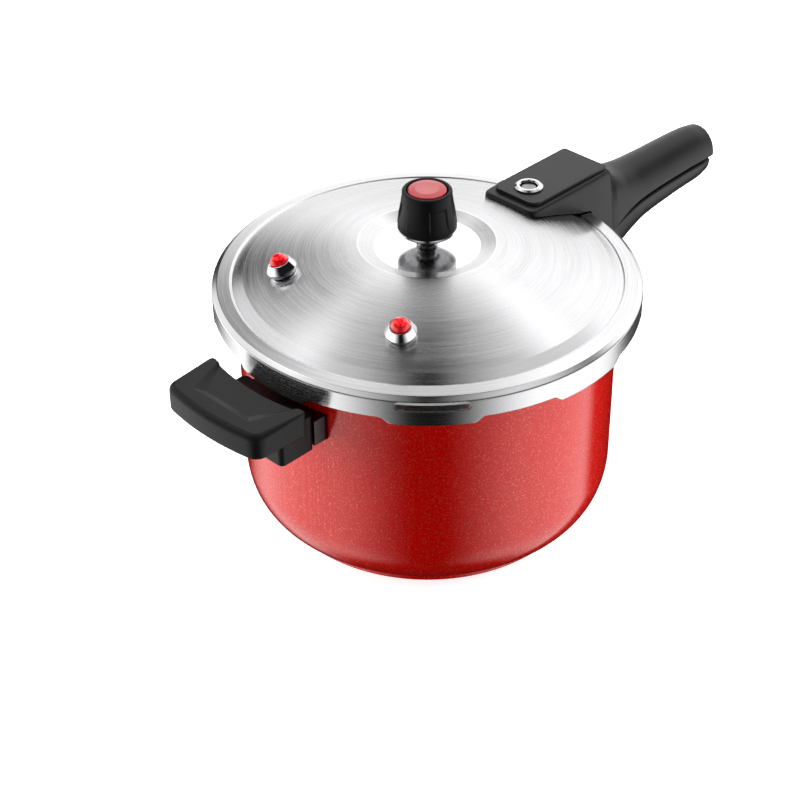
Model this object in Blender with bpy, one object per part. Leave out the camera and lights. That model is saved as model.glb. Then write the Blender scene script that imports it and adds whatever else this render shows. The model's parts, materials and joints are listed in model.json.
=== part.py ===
"""Family pressure cooker with a bayonet lid, 22 cm bore.

The pot stands on the origin, +Z is up, and the long handle points along +X.
All dimensions below are millimetres; MM turns them into metres when a mesh is made.
"""
import math

import bmesh
import bpy
from mathutils import Matrix, Vector

MM = 0.001
GAP = 0.3                       # clearance between touching pieces
ROUND_STEPS = 72                # segments of the pot and the lid, 5 degrees each
STEP_DEG = 360.0 / ROUND_STEPS
LUG_PITCH_DEG = 45.0            # eight bayonet lugs

# Pot
POT_RADIUS = 112.0
POT_WALL = 1.8
POT_FLOOR_Z = 8.0
CORNER_WIDE = 15.5              # elliptical bottom corner, horizontal half axis
CORNER_HIGH = 29.0              # elliptical bottom corner, vertical half axis
COLLAR_RADIUS = 116.3
COLLAR_Z = 136.5
POT_TOP_Z = 148.3
POT_LUG_RADIUS = 122.6
POT_LUG_Z = (139.0, 141.3)
POT_LUG_HALF_DEG = 7.5

# Sandwich base
BASE_RADIUS = 94.8
CAP_WALL = 1.1
BASE_RIM_Z = POT_FLOOR_Z - 0.4

# Lid
LID_RADIUS = 126.0
LID_WALL = 1.2
DOME_TOP_Z = 179.5
DOME_EDGE_RADIUS = 114.7
FLANGE_Z = 155.3
DISH_RADIUS = 31.0
DISH_Z = 173.9
DISH_LIP_RADIUS = 41.0
SKIRT_BOTTOM_Z = 140.4
LID_LUG_Z = (136.5, 137.9)
LID_LUG_INNER_RADIUS = 118.3
LID_LUG_HALF_DEG = 12.5
LID_LUG_END_TAPER_DEG = 1.8
WINDOW_DEG = -135.0             # pressure-relief window in the skirt
WINDOW_HALF_LENGTH = 21.0
WINDOW_Z = (145.6, 151.6)
DOME_FALL = (DOME_TOP_Z - FLANGE_Z) / DOME_EDGE_RADIUS ** 2

# Long handle
# x and height of the parting line between the handle's halves
SPLIT_LINE = ((112.0, 127.2), (140.0, 127.8), (150.0, 129.2), (160.0, 131.4), (170.0, 133.3), (183.0, 134.7),
              (200.0, 135.3), (232.0, 135.5), (250.0, 134.9), (265.0, 133.6))
SPLIT_GAP = 1.4
HANDLE_END_X = 265.0
PLATE_Z = (173.9, 175.8)
PLATE_X = (75.0, 142.0)
PLATE_HALF_WIDTH = 17.0
POCKET_X = (78.5, 133.0)
POCKET_HALF_WIDTH = 7.6
POCKET_Z = 168.2
STRIP_HALF_WIDTH = 8.0
LID_SCREW_X = 146.0
LOWER_SCREW_X = 138.0
POT_TONGUE_Z = (116.0, 119.0)   # steel tongue of the pot's bracket, inside the lower half
POT_TONGUE_END_X = 150.0
LID_STRIP_X = (98.0, 114.6, 152.0)  # start, bend and end of the lid's steel strip
LID_STRIP_Z = (162.4, 156.2)    # its underside at the start and past the bend

# Helper handle
HELPER_INNER_RADIUS = 138.0
HELPER_OUTER_RADIUS = 173.0
HELPER_Z = (128.0, 144.0)
HELPER_NECK_Z = (106.5, 129.0)
HELPER_NECK_X = (-144.2, -119.2)
HELPER_NECK_HALF_WIDTH = 28.0
HELPER_CUP_Z = (107.5, 123.8)
HELPER_CUP_HALF_WIDTH = 27.5
HELPER_SCREW_X = -131.0
HELPER_TONGUE_Z = (114.0, 117.0)
HELPER_TONGUE_HALF_WIDTH = 9.0
HELPER_TONGUE_REACH = 138.0
CUP_WALL = 1.5

# Screws under the handles
SCREW_HOLE_RADIUS = 2.4
COUNTERBORE_RADIUS = 4.8

# Pressure regulator
WEIGHT_BASE_Z = 182.0
VENT_HOLE_RADIUS = 4.6

# Float pin, seen through the eyelet in the plate
FLOAT_X = 89.0
FLOAT_BASE_Z = 153.5
FLOAT_HOLE_RADIUS = 3.3
PIN_RADIUS = 2.8

# Interlock slide in the pocket under the plate
SLIDE_THICK = 4.0
SLIDE_BACK = 25.0               # from the float pin's axis to the spring's seat

# Safety valves stand square to the dome on both sides of the helper handle's axis
VALVE_DEG = (146.0, -146.0)
VALVE_RADIUS = 84.3
VALVE_HOLE_RADIUS = 5.3
SPRING_SIDES = 4                # flats round the wire of a spring

STEEL = ((0.72, 0.72, 0.73, 1.0), 0.28, 1.0)
BRIGHT_STEEL = ((0.86, 0.86, 0.87, 1.0), 0.10, 1.0)
ALUMINIUM = ((0.77, 0.78, 0.79, 1.0), 0.45, 1.0)
RED_COAT = ((0.50, 0.005, 0.008, 1.0), 0.28, 0.2)
RED_PLASTIC = ((0.60, 0.01, 0.015, 1.0), 0.25, 0.0)
BLACK_PLASTIC = ((0.018, 0.018, 0.019, 1.0), 0.50, 0.0)
SILICONE = ((0.62, 0.62, 0.60, 1.0), 0.60, 0.0)


def clear_scene():
    for old in list(bpy.data.objects):
        bpy.data.objects.remove(old, do_unlink=True)


def material(name, finish):
    """A Principled material from a (colour, roughness, metallic) finish."""
    colour, roughness, metallic = finish
    mat = bpy.data.materials.new(name)
    mat.use_nodes = True
    shader = mat.node_tree.nodes["Principled BSDF"]
    shader.inputs["Base Color"].default_value = colour
    shader.inputs["Roughness"].default_value = roughness
    shader.inputs["Metallic"].default_value = metallic
    return mat


def frame(name, parent=None, matrix=None):
    """An empty that carries a moving group; its origin lies on the joint's axis."""
    empty = bpy.data.objects.new(name, None)
    bpy.context.scene.collection.objects.link(empty)
    empty.parent = parent
    if matrix is not None:
        empty.matrix_basis = matrix
    return empty


def shift(x, y, z):
    """Translation given in millimetres."""
    return Matrix.Translation(Vector((x, y, z)) * MM)


def add_object(name, bm, finish=None, parent=None, sharp_deg=35.0):
    """Turns a bmesh drawn in millimetres into an object in metres."""
    bmesh.ops.scale(bm, vec=(MM, MM, MM), verts=bm.verts)
    bmesh.ops.recalc_face_normals(bm, faces=bm.faces)
    mesh = bpy.data.meshes.new(name)
    bm.to_mesh(mesh)
    bm.free()
    obj = bpy.data.objects.new(name, mesh)
    bpy.context.scene.collection.objects.link(obj)
    finish_object(obj, finish, parent, sharp_deg)
    return obj


def finish_object(obj, finish, parent, sharp_deg=35.0):
    obj.data.shade_smooth()
    obj.data.set_sharp_from_angle(angle=math.radians(sharp_deg))
    if finish is not None:
        obj.data.materials.clear()
        obj.data.materials.append(material(obj.name + "_finish", finish))
    obj.parent = parent


def combine(target, tool, operation):
    """Applies a Boolean with another object and removes that object."""
    modifier = target.modifiers.new(operation.lower(), "BOOLEAN")
    modifier.operation = operation
    modifier.solver = "EXACT"
    modifier.object = tool
    bpy.context.view_layer.update()
    graph = bpy.context.evaluated_depsgraph_get()
    result = bpy.data.meshes.new_from_object(target.evaluated_get(graph))
    target.modifiers.remove(modifier)
    target.data = result
    bpy.data.objects.remove(tool, do_unlink=True)


def cut(target, tool):
    combine(target, tool, "DIFFERENCE")


def join(target, tool):
    combine(target, tool, "UNION")


def turned(profile, steps, start_deg=0.0):
    """A closed (radius, height) outline spun about Z."""
    bm = bmesh.new()
    ring = [bm.verts.new((r, 0.0, z)) for r, z in profile]
    edges = [bm.edges.new(pair) for pair in zip(ring, ring[1:] + ring[:1])]
    bmesh.ops.rotate(bm, verts=ring, cent=(0, 0, 0),
                     matrix=Matrix.Rotation(math.radians(start_deg), 3, "Z"))
    bmesh.ops.spin(bm, geom=ring + edges, cent=(0, 0, 0), axis=(0, 0, 1), dvec=(0, 0, 0),
                   angle=math.tau, steps=steps, use_merge=True)
    bmesh.ops.remove_doubles(bm, verts=bm.verts, dist=0.0005)
    bmesh.ops.dissolve_degenerate(bm, edges=bm.edges, dist=0.0005)
    return bm


def box(low, high):
    bm = bmesh.new()
    size = Vector(high) - Vector(low)
    middle = (Vector(high) + Vector(low)) / 2.0
    bmesh.ops.create_cube(bm, size=1.0, matrix=Matrix.Translation(middle) @ Matrix.Diagonal(size.to_4d()))
    return bm


def rod(radius, low_z, high_z, steps=20, centre=(0.0, 0.0)):
    bm = turned([(0.0, low_z), (radius, low_z), (radius, high_z), (0.0, high_z)], steps)
    bmesh.ops.translate(bm, vec=(centre[0], centre[1], 0.0), verts=bm.verts)
    return bm


def prism(outline, direction):
    """A flat outline of 3-D points pushed along a direction."""
    bm = bmesh.new()
    face = bm.faces.new([bm.verts.new(point) for point in outline])
    pushed = bmesh.ops.extrude_face_region(bm, geom=[face], use_keep_orig=True)
    moved = [item for item in pushed["geom"] if isinstance(item, bmesh.types.BMVert)]
    bmesh.ops.translate(bm, vec=direction, verts=moved)
    return bm


def hexagon_nut(across_flats, bore, low_z, high_z):
    """A six-sided nut with a round hole."""
    corner = across_flats / math.sqrt(3.0)
    bm = bmesh.new()
    sides = 24
    rings = []
    for z in (low_z, high_z):
        outer = []
        inner = []
        for index in range(sides):
            angle = math.tau * index / sides
            off_corner = (angle + math.pi / 6.0) % (math.pi / 3.0) - math.pi / 6.0
            reach = corner * math.cos(math.pi / 6.0) / math.cos(math.pi / 6.0 - abs(off_corner))
            outer.append(bm.verts.new((reach * math.cos(angle), reach * math.sin(angle), z)))
            inner.append(bm.verts.new((bore * math.cos(angle), bore * math.sin(angle), z)))
        rings.append((outer, inner))
    (low_outer, low_inner), (high_outer, high_inner) = rings
    for index in range(sides):
        after = (index + 1) % sides
        for first, second in ((low_outer, high_outer), (high_outer, high_inner),
                              (high_inner, low_inner), (low_inner, low_outer)):
            bm.faces.new((first[index], first[after], second[after], second[index]))
    return bm


def coil(mean_radius, wire_radius, low_z, high_z, turns):
    """A closed helical wire about Z with flat cut ends."""
    bm = bmesh.new()
    around = 8
    count = int(turns * around)
    rings = []
    for index in range(count + 1):
        angle = math.tau * index / around
        height = low_z + wire_radius + (high_z - low_z - 2.0 * wire_radius) * index / count
        outward = Vector((math.cos(angle), math.sin(angle), 0.0))
        ring = []
        for side in range(SPRING_SIDES):
            turn = math.tau * side / SPRING_SIDES
            offset = outward * math.cos(turn) + Vector((0, 0, 1)) * math.sin(turn)
            ring.append(bm.verts.new(outward * mean_radius + Vector((0, 0, height)) + offset * wire_radius))
        rings.append(ring)
    bridge(bm, rings)
    return bm


def bridge(bm, rings):
    """Skins a row of equal rings and closes both ends."""
    for first, second in zip(rings, rings[1:]):
        for index in range(len(first)):
            after = (index + 1) % len(first)
            bm.faces.new((first[index], first[after], second[after], second[index]))
    bm.faces.new(rings[0])
    bm.faces.new(rings[-1])


def ellipse_corner(centre_r, centre_z, wide, high, points):
    """Points of a quarter ellipse from straight down round to straight out."""
    quarter = []
    for index in range(points + 1):
        angle = math.pi / 2.0 * index / points
        quarter.append((centre_r + wide * math.sin(angle), centre_z - high * math.cos(angle)))
    return quarter


def dome_z(radius):
    """Height of the lid's outer dome."""
    return DOME_TOP_Z - DOME_FALL * radius * radius


def lug_offset(vertex):
    """Signed angle in degrees from the nearest lug centre."""
    angle = math.degrees(math.atan2(vertex.co.y, vertex.co.x))
    return (angle + LUG_PITCH_DEG / 2.0) % LUG_PITCH_DEG - LUG_PITCH_DEG / 2.0


def radius_of(vertex):
    return math.hypot(vertex.co.x, vertex.co.y)


def extrude_faces(bm, faces):
    """Extrudes faces in place and returns the new faces and their vertices."""
    pushed = bmesh.ops.extrude_face_region(bm, geom=faces)
    new_faces = [item for item in pushed["geom"] if isinstance(item, bmesh.types.BMFace)]
    new_verts = [item for item in pushed["geom"] if isinstance(item, bmesh.types.BMVert)]
    bmesh.ops.delete(bm, geom=[face for face in faces if face.is_valid], context="FACES_ONLY")
    return new_faces, new_verts


def set_radius(vertex, radius):
    scale = radius / radius_of(vertex)
    vertex.co.x *= scale
    vertex.co.y *= scale


def turn_vertex(vertex, degrees):
    vertex.co = Matrix.Rotation(math.radians(degrees), 3, "Z") @ vertex.co


# ---------------------------------------------------------------- pot side

def pot_body(parent):
    straight_z = POT_FLOOR_Z + CORNER_HIGH
    corner_r = POT_RADIUS - CORNER_WIDE
    inner_r = POT_RADIUS - POT_WALL
    outer = [(0.0, POT_FLOOR_Z)]
    outer += ellipse_corner(corner_r, straight_z, CORNER_WIDE, CORNER_HIGH, 6)
    outer += [(POT_RADIUS, COLLAR_Z), (COLLAR_RADIUS, POT_LUG_Z[0]), (COLLAR_RADIUS, POT_LUG_Z[1]),
              (COLLAR_RADIUS, POT_TOP_Z - 0.6), (COLLAR_RADIUS - 0.6, POT_TOP_Z)]
    inner = [(0.0, POT_FLOOR_Z + POT_WALL)]
    inner += ellipse_corner(corner_r, straight_z, CORNER_WIDE - POT_WALL, CORNER_HIGH - POT_WALL, 5)
    inner += [(inner_r, COLLAR_Z + 0.6), (COLLAR_RADIUS - POT_WALL, POT_LUG_Z[0] + 1.0),
              (COLLAR_RADIUS - POT_WALL, POT_TOP_Z)]
    bm = turned(outer + inner[::-1], ROUND_STEPS, STEP_DEG / 2.0)
    lug_faces = []
    for face in bm.faces:
        middle = face.calc_center_median()
        on_band = POT_LUG_Z[0] < middle.z < POT_LUG_Z[1] and middle.xy.length > COLLAR_RADIUS - 0.5
        if on_band and all(abs(lug_offset(vertex)) < POT_LUG_HALF_DEG + 0.1 for vertex in face.verts):
            lug_faces.append(face)
    tips = extrude_faces(bm, lug_faces)[1]
    for vertex in tips:
        set_radius(vertex, POT_LUG_RADIUS)
    return add_object("pot_body", bm, RED_COAT, parent)


def base_core(parent):
    radius = BASE_RADIUS - CAP_WALL - 0.4
    bm = rod(radius, CAP_WALL + GAP, POT_FLOOR_Z - GAP, 48)
    return add_object("base_core", bm, ALUMINIUM, parent)


def base_cap(parent):
    inner = BASE_RADIUS - CAP_WALL
    profile = [(0.0, 0.0), (BASE_RADIUS - 1.4, 0.0), (BASE_RADIUS, 1.4), (BASE_RADIUS, BASE_RIM_Z),
               (inner, BASE_RIM_Z), (inner, CAP_WALL), (0.0, CAP_WALL)]
    return add_object("base_cap", turned(profile, 48), RED_COAT, parent)


def wall_pad(half_deg, low_z, high_z, thick):
    """A curved pad that hugs the pot wall, centred on +X."""
    bm = bmesh.new()
    rings = []
    steps = 6
    for index in range(steps + 1):
        angle = math.radians(-half_deg + 2.0 * half_deg * index / steps)
        ring = []
        for radius, z in ((POT_RADIUS + GAP, low_z), (POT_RADIUS + GAP + thick, low_z),
                          (POT_RADIUS + GAP + thick, high_z), (POT_RADIUS + GAP, high_z)):
            ring.append(bm.verts.new((radius * math.cos(angle), radius * math.sin(angle), z)))
        rings.append(ring)
    bridge(bm, rings)
    return bm


def pot_handle_bracket(parent):
    bracket = add_object("pot_handle_bracket", wall_pad(9.0, 99.0, 127.0, 2.0))
    tongue = add_object("tongue", box((POT_RADIUS + 1.2, -STRIP_HALF_WIDTH, POT_TONGUE_Z[0]),
                                      (POT_TONGUE_END_X, STRIP_HALF_WIDTH, POT_TONGUE_Z[1])))
    join(bracket, tongue)
    cut(bracket, add_object("hole", rod(SCREW_HOLE_RADIUS, 110.0, 125.0, 16, (LOWER_SCREW_X, 0.0))))
    finish_object(bracket, STEEL, parent)


def grip_section(x, half_low, half_high, flat_z, crown_z, squareness, points=10):
    """Half of a rounded section: flat at flat_z, crowned at crown_z, in the plane x.

    half_low and half_high are the half widths at the flat and at the crown of a boxy
    section; squareness 2 gives an ellipse and larger values a box with rounded edges.
    """
    section = []
    power = 2.0 / squareness
    for index in range(points + 1):
        angle = math.pi * index / points
        side = math.copysign(abs(math.cos(angle)) ** power, math.cos(angle))
        rise = max(math.sin(angle), 0.0) ** power
        half = half_low + (half_high - half_low) * rise
        section.append(Vector((x, side * half, flat_z + (crown_z - flat_z) * rise)))
    return section


def split_z(x):
    """Height of the handle's parting line at x."""
    for (first_x, first_z), (last_x, last_z) in zip(SPLIT_LINE, SPLIT_LINE[1:]):
        if x <= last_x:
            return first_z + (last_z - first_z) * max(x - first_x, 0.0) / (last_x - first_x)
    return SPLIT_LINE[-1][1]


def loft_sections(sections):
    bm = bmesh.new()
    rings = [[bm.verts.new(point) for point in section] for section in sections]
    bridge(bm, rings)
    return bm


# x, half width at the split, half width at the crown, crown height, squareness
LOWER_HANDLE_STATIONS = (
    (112.0, 20.0, 18.0, 97.0, 5.0),
    (130.0, 20.0, 18.0, 98.0, 5.0),
    (150.0, 19.6, 17.0, 100.2, 4.0),
    (166.0, 18.4, 15.8, 103.2, 3.0),
    (180.0, 17.0, 15.4, 107.4, 2.4),
    (194.0, 16.2, 15.4, 111.6, 2.1),
    (210.0, 15.5, 15.4, 114.2, 2.1),
    (232.0, 15.0, 15.0, 116.0, 2.0),
    (250.0, 14.4, 14.4, 117.0, 2.0),
    (258.0, 13.0, 13.0, 119.4, 2.0),
    (262.0, 10.0, 10.0, 123.5, 2.0),
)


def lower_handle(parent):
    sections = []
    for x, half_low, half_high, crown_z, squareness in LOWER_HANDLE_STATIONS:
        sections.append(grip_section(x, half_low, half_high, split_z(x) - SPLIT_GAP / 2.0, crown_z, squareness))
    handle = add_object("lower_handle", loft_sections(sections))
    cut(handle, add_object("wall", rod(POT_RADIUS + 2.9, 80.0, 150.0, ROUND_STEPS)))
    slot_half = STRIP_HALF_WIDTH + GAP
    cut(handle, add_object("slot", box((100.0, -slot_half, POT_TONGUE_Z[0] - GAP),
                                       (POT_TONGUE_END_X + GAP, slot_half, POT_TONGUE_Z[1] + GAP))))
    cut(handle, add_object("counterbore", rod(COUNTERBORE_RADIUS, 80.0, 104.5, 20, (LOWER_SCREW_X, 0.0))))
    cut(handle, add_object("hole", rod(SCREW_HOLE_RADIUS, 100.0, 124.0, 16, (LOWER_SCREW_X, 0.0))))
    finish_object(handle, BLACK_PLASTIC, parent)


def screw(name, centre, head_z, tip_z, parent):
    """A pan-head screw driven upwards; head_z is the seat under its head."""
    profile = [(0.0, head_z - 3.0), (2.6, head_z - 3.0), (4.2, head_z - 1.8), (4.2, head_z), (2.1, head_z),
               (2.1, tip_z - 1.0), (1.2, tip_z), (0.0, tip_z)]
    bm = turned(profile, 16)
    slot = box((-5.0, -0.45, head_z - 4.0), (5.0, 0.45, head_z - 2.0))
    for part in (bm, slot):
        bmesh.ops.translate(part, vec=(centre, 0.0, 0.0), verts=part.verts)
    obj = add_object(name, bm)
    cut(obj, add_object("driver_slot", slot))
    finish_object(obj, STEEL, parent)


def helper_bracket(parent):
    bracket = add_object("helper_bracket", wall_pad(14.2, HELPER_CUP_Z[0], HELPER_CUP_Z[1], 2.0))
    half = HELPER_CUP_HALF_WIDTH
    cup = add_object("cup", box((107.0, -half, HELPER_CUP_Z[0]), (-HELPER_NECK_X[1] - 0.4, half, HELPER_CUP_Z[1])))
    cut(cup, add_object("wall", rod(POT_RADIUS + GAP + 0.6, 90.0, 140.0, ROUND_STEPS)))
    join(bracket, cup)
    cut(bracket, add_object("mouth", box((114.6, CUP_WALL - half, HELPER_CUP_Z[0] + CUP_WALL),
                                         (140.0, half - CUP_WALL, HELPER_CUP_Z[1] - CUP_WALL))))
    tongue_half = HELPER_TONGUE_HALF_WIDTH
    join(bracket, add_object("tongue", box((113.2, -tongue_half, HELPER_TONGUE_Z[0]),
                                           (HELPER_TONGUE_REACH, tongue_half, HELPER_TONGUE_Z[1]))))
    cut(bracket, add_object("hole", rod(SCREW_HOLE_RADIUS, 110.0, 125.0, 16, (-HELPER_SCREW_X, 0.0))))
    bracket.data.transform(Matrix.Rotation(math.pi, 4, "Z"))
    finish_object(bracket, STEEL, parent)


def arc_point(radius, y, z):
    """Point on the helper handle's side of the pot at a radius and a side offset."""
    return Vector((-math.sqrt(radius * radius - y * y), y, z))


def helper_outline(z):
    """Plan outline of the grip: two arcs about the pot, closed by rounded corners."""
    outer_half = 31.5
    corner = 8.0
    inner_half = 35.6
    points = []
    for index in range(9):
        points.append(arc_point(HELPER_OUTER_RADIUS, outer_half * (index / 4.0 - 1.0), z))
    edge = points[-1]
    for index in range(1, 5):
        angle = math.radians(20.0 + 70.0 * index / 4.0)
        points.append(Vector((edge.x + corner * (1.0 - math.cos(angle)), edge.y + corner * math.sin(angle), z)))
    side = [arc_point(HELPER_INNER_RADIUS + 1.4, 38.2, z), arc_point(HELPER_INNER_RADIUS + 0.1, 37.4, z)]
    points += side
    for index in range(9):
        points.append(arc_point(HELPER_INNER_RADIUS, inner_half * (1.0 - index / 4.0), z))
    points += [Vector((point.x, -point.y, z)) for point in side[::-1]]
    for index in range(4, 0, -1):
        angle = math.radians(20.0 + 70.0 * index / 4.0)
        points.append(Vector((edge.x + corner * (1.0 - math.cos(angle)), -edge.y - corner * math.sin(angle), z)))
    return points


def helper_handle(parent):
    grip_bm = prism(helper_outline(HELPER_Z[0]), (0.0, 0.0, HELPER_Z[1] - HELPER_Z[0]))
    flat_edges = []
    for edge in grip_bm.edges:
        if abs(edge.verts[0].co.z - edge.verts[1].co.z) < 0.01:
            flat_edges.append(edge)
    bmesh.ops.bevel(grip_bm, geom=flat_edges, offset=2.2, offset_type="OFFSET", segments=2, profile=0.5,
                    affect="EDGES", clamp_overlap=True)
    handle = add_object("helper_handle", grip_bm)
    half = HELPER_NECK_HALF_WIDTH
    neck_bm = box((HELPER_NECK_X[0], -half, HELPER_NECK_Z[0]), (HELPER_NECK_X[1], half, HELPER_NECK_Z[1] + 3.0))
    upright = [edge for edge in neck_bm.edges if abs(edge.verts[0].co.z - edge.verts[1].co.z) > 1.0]
    bmesh.ops.bevel(neck_bm, geom=upright, offset=2.5, offset_type="OFFSET", segments=2, profile=0.5,
                    affect="EDGES")
    neck = add_object("neck", neck_bm)
    slope = prism([(HELPER_NECK_X[1] + 2.0, -40.0, 129.5), (HELPER_NECK_X[1] + 2.0, -40.0, 140.0),
                   (-137.2, -40.0, 140.0), (-137.2, -40.0, 133.0), (-127.0, -40.0, 129.5)], (0.0, 80.0, 0.0))
    cut(neck, add_object("finger_slope", slope))
    join(handle, neck)
    inset = CUP_WALL + GAP
    nose_half = HELPER_CUP_HALF_WIDTH - inset
    join(handle, add_object("nose", box((HELPER_NECK_X[1] - 1.0, -nose_half, HELPER_CUP_Z[0] + inset),
                                        (-115.0, nose_half, HELPER_CUP_Z[1] - inset))))
    slot_half = HELPER_TONGUE_HALF_WIDTH + GAP
    cut(handle, add_object("slot", box((-HELPER_TONGUE_REACH - GAP, -slot_half, HELPER_TONGUE_Z[0] - GAP),
                                       (-110.0, slot_half, HELPER_TONGUE_Z[1] + GAP))))
    cut(handle, add_object("counterbore", rod(COUNTERBORE_RADIUS, 90.0, 110.8, 20, (HELPER_SCREW_X, 0.0))))
    cut(handle, add_object("hole", rod(SCREW_HOLE_RADIUS, 105.0, 121.0, 16, (HELPER_SCREW_X, 0.0))))
    finish_object(handle, BLACK_PLASTIC, parent)


# ---------------------------------------------------------------- lid side

def sealing_ring(parent):
    """C-shaped ring, open towards the pot's centre."""
    profile = [(112.5, 148.6), (124.1, 148.6), (124.1, 150.7), (121.9, 151.8), (113.6, 153.6), (113.6, 152.4),
               (121.0, 150.8), (121.4, 150.1), (112.5, 150.1)]
    return add_object("sealing_ring", turned(profile, 48), SILICONE, parent)


def lid_outer_profile():
    points = [(VENT_HOLE_RADIUS, DISH_Z), (DISH_RADIUS, DISH_Z), (DISH_RADIUS + 4.0, DISH_Z + 0.9),
              (DISH_LIP_RADIUS - 2.0, dome_z(DISH_LIP_RADIUS) - 0.5)]
    points += [(radius, dome_z(radius)) for radius in (DISH_LIP_RADIUS + 1.0, 60.0, 79.0, 97.0, DOME_EDGE_RADIUS)]
    points += [(122.7, 153.5), (125.2, 152.2), (LID_RADIUS, 149.8)]
    return points


def lid_shell(parent):
    outer = lid_outer_profile()
    skirt_inner = LID_RADIUS - LID_WALL
    inner = [(radius, z - LID_WALL) for radius, z in outer[:-3]]
    inner += [(122.2, 152.3), (124.2, 151.2), (skirt_inner, 149.6)]
    profile = outer + [(LID_RADIUS, SKIRT_BOTTOM_Z), (skirt_inner, SKIRT_BOTTOM_Z)] + inner[::-1]
    bm = turned(profile, ROUND_STEPS, STEP_DEG / 2.0)
    add_lid_lugs(bm, skirt_inner)
    lid = add_object("lid_shell", bm)
    window = box((100.0, -WINDOW_HALF_LENGTH, WINDOW_Z[0]), (140.0, WINDOW_HALF_LENGTH, WINDOW_Z[1]))
    ends = [edge for edge in window.edges if abs(edge.verts[0].co.x - edge.verts[1].co.x) > 1.0]
    bmesh.ops.bevel(window, geom=ends, offset=2.9, offset_type="OFFSET", segments=3, profile=0.5, affect="EDGES")
    clear_of_flange = [vertex for vertex in window.verts if vertex.co.x < 120.0]
    bmesh.ops.translate(window, vec=(23.2, 0.0, 0.0), verts=clear_of_flange)
    bmesh.ops.rotate(window, verts=window.verts, cent=(0, 0, 0),
                     matrix=Matrix.Rotation(math.radians(WINDOW_DEG), 3, "Z"))
    cut(lid, add_object("window", window))
    cut(lid, add_object("float_hole", rod(FLOAT_HOLE_RADIUS, 140.0, 180.0, 16, (FLOAT_X, 0.0))))
    for degrees in VALVE_DEG:
        hole = add_object("valve_hole", rod(VALVE_HOLE_RADIUS, -10.0, 10.0, 20))
        hole.data.transform(valve_matrix(degrees))
        cut(lid, hole)
    finish_object(lid, STEEL, parent)


def add_lid_lugs(bm, skirt_inner):
    """Drops eight tabs from the skirt and turns their lower edges inwards."""
    lug_faces = []
    for face in bm.faces:
        flat = all(abs(vertex.co.z - SKIRT_BOTTOM_Z) < 0.01 for vertex in face.verts)
        if flat and all(abs(lug_offset(vertex)) < LID_LUG_HALF_DEG + 0.1 for vertex in face.verts):
            lug_faces.append(face)
    faces, verts = extrude_faces(bm, lug_faces)
    for vertex in verts:
        vertex.co.z = LID_LUG_Z[1]
        if abs(lug_offset(vertex)) > LID_LUG_HALF_DEG - 1.0:
            turn_vertex(vertex, -math.copysign(LID_LUG_END_TAPER_DEG, lug_offset(vertex)))
    faces, verts = extrude_faces(bm, faces)
    for vertex in verts:
        vertex.co.z = LID_LUG_Z[0]
    bm.normal_update()
    inward = []
    middle_z = sum(LID_LUG_Z) / 2.0
    for face in bm.faces:
        middle = face.calc_center_median()
        if abs(middle.z - middle_z) < 0.1 and middle.xy.length < skirt_inner + 0.1:
            inward.append(face)
    for vertex in extrude_faces(bm, inward)[1]:
        set_radius(vertex, LID_LUG_INNER_RADIUS)


def lid_clearance():
    """Solid of the lid's outside grown by the gap, used to hollow the handle above it."""
    grown = [(0.0, 100.0), (LID_RADIUS + 0.5, 100.0), (LID_RADIUS + 0.5, 150.0), (125.6, 152.8), (122.9, 154.1),
             (DOME_EDGE_RADIUS, 156.0)]
    grown += [(radius, dome_z(radius) + 0.45) for radius in (104.0, 92.0, 78.0, 60.0)]
    return add_object("lid_clearance", turned(grown + [(0.0, DOME_TOP_Z)], ROUND_STEPS, STEP_DEG / 2.0))


def strip_outline(y, grow=0.0, drop=0.0):
    """Side outline of the steel strip that lies on the lid and reaches into the handle."""
    start_x, bend_x, end_x = LID_STRIP_X
    start_z, flat_z = LID_STRIP_Z
    thick = 2.6
    return [(start_x - grow, y, start_z - drop), (bend_x, y, flat_z - drop), (end_x + grow, y, flat_z - grow),
            (end_x + grow, y, flat_z + thick + grow), (bend_x, y, flat_z + thick + grow),
            (start_x - grow, y, start_z + thick + grow)]


def lid_handle_bracket(parent):
    strip = prism(strip_outline(-STRIP_HALF_WIDTH), (0.0, 2.0 * STRIP_HALF_WIDTH, 0.0))
    bracket = add_object("lid_handle_bracket", strip)
    cut(bracket, add_object("hole", rod(SCREW_HOLE_RADIUS, 150.0, 165.0, 16, (LID_SCREW_X, 0.0))))
    finish_object(bracket, STEEL, parent)


# x, half width at the bottom, half width at the top, top height, squareness
UPPER_HANDLE_STATIONS = (
    (70.0, 16.4, 15.6, 173.2, 9.0),
    (70.6, 18.8, 17.8, 173.5, 9.0),
    (72.0, 20.4, 19.2, 173.6, 9.0),
    (75.0, 21.2, 20.0, 173.6, 9.0),
    (100.0, 22.6, 20.2, 173.6, 9.0),
    (127.0, 24.4, 20.2, 173.6, 9.0),
    (142.5, 23.6, 19.4, 173.6, 8.0),
    (148.0, 22.6, 18.0, 169.6, 6.0),
    (154.0, 21.4, 17.0, 164.6, 4.4),
    (161.0, 20.0, 17.0, 161.0, 3.2),
    (170.0, 18.4, 17.0, 158.8, 2.5),
    (184.0, 16.9, 16.4, 157.5, 2.1),
    (206.0, 15.9, 15.9, 156.6, 2.0),
    (232.0, 15.2, 15.2, 156.2, 2.0),
    (248.0, 14.8, 14.8, 155.7, 2.0),
    (257.0, 14.1, 14.1, 154.1, 2.0),
    (262.0, 12.8, 12.8, 150.8, 2.0),
    (HANDLE_END_X, 9.6, 9.6, 145.2, 2.0),
)


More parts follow.
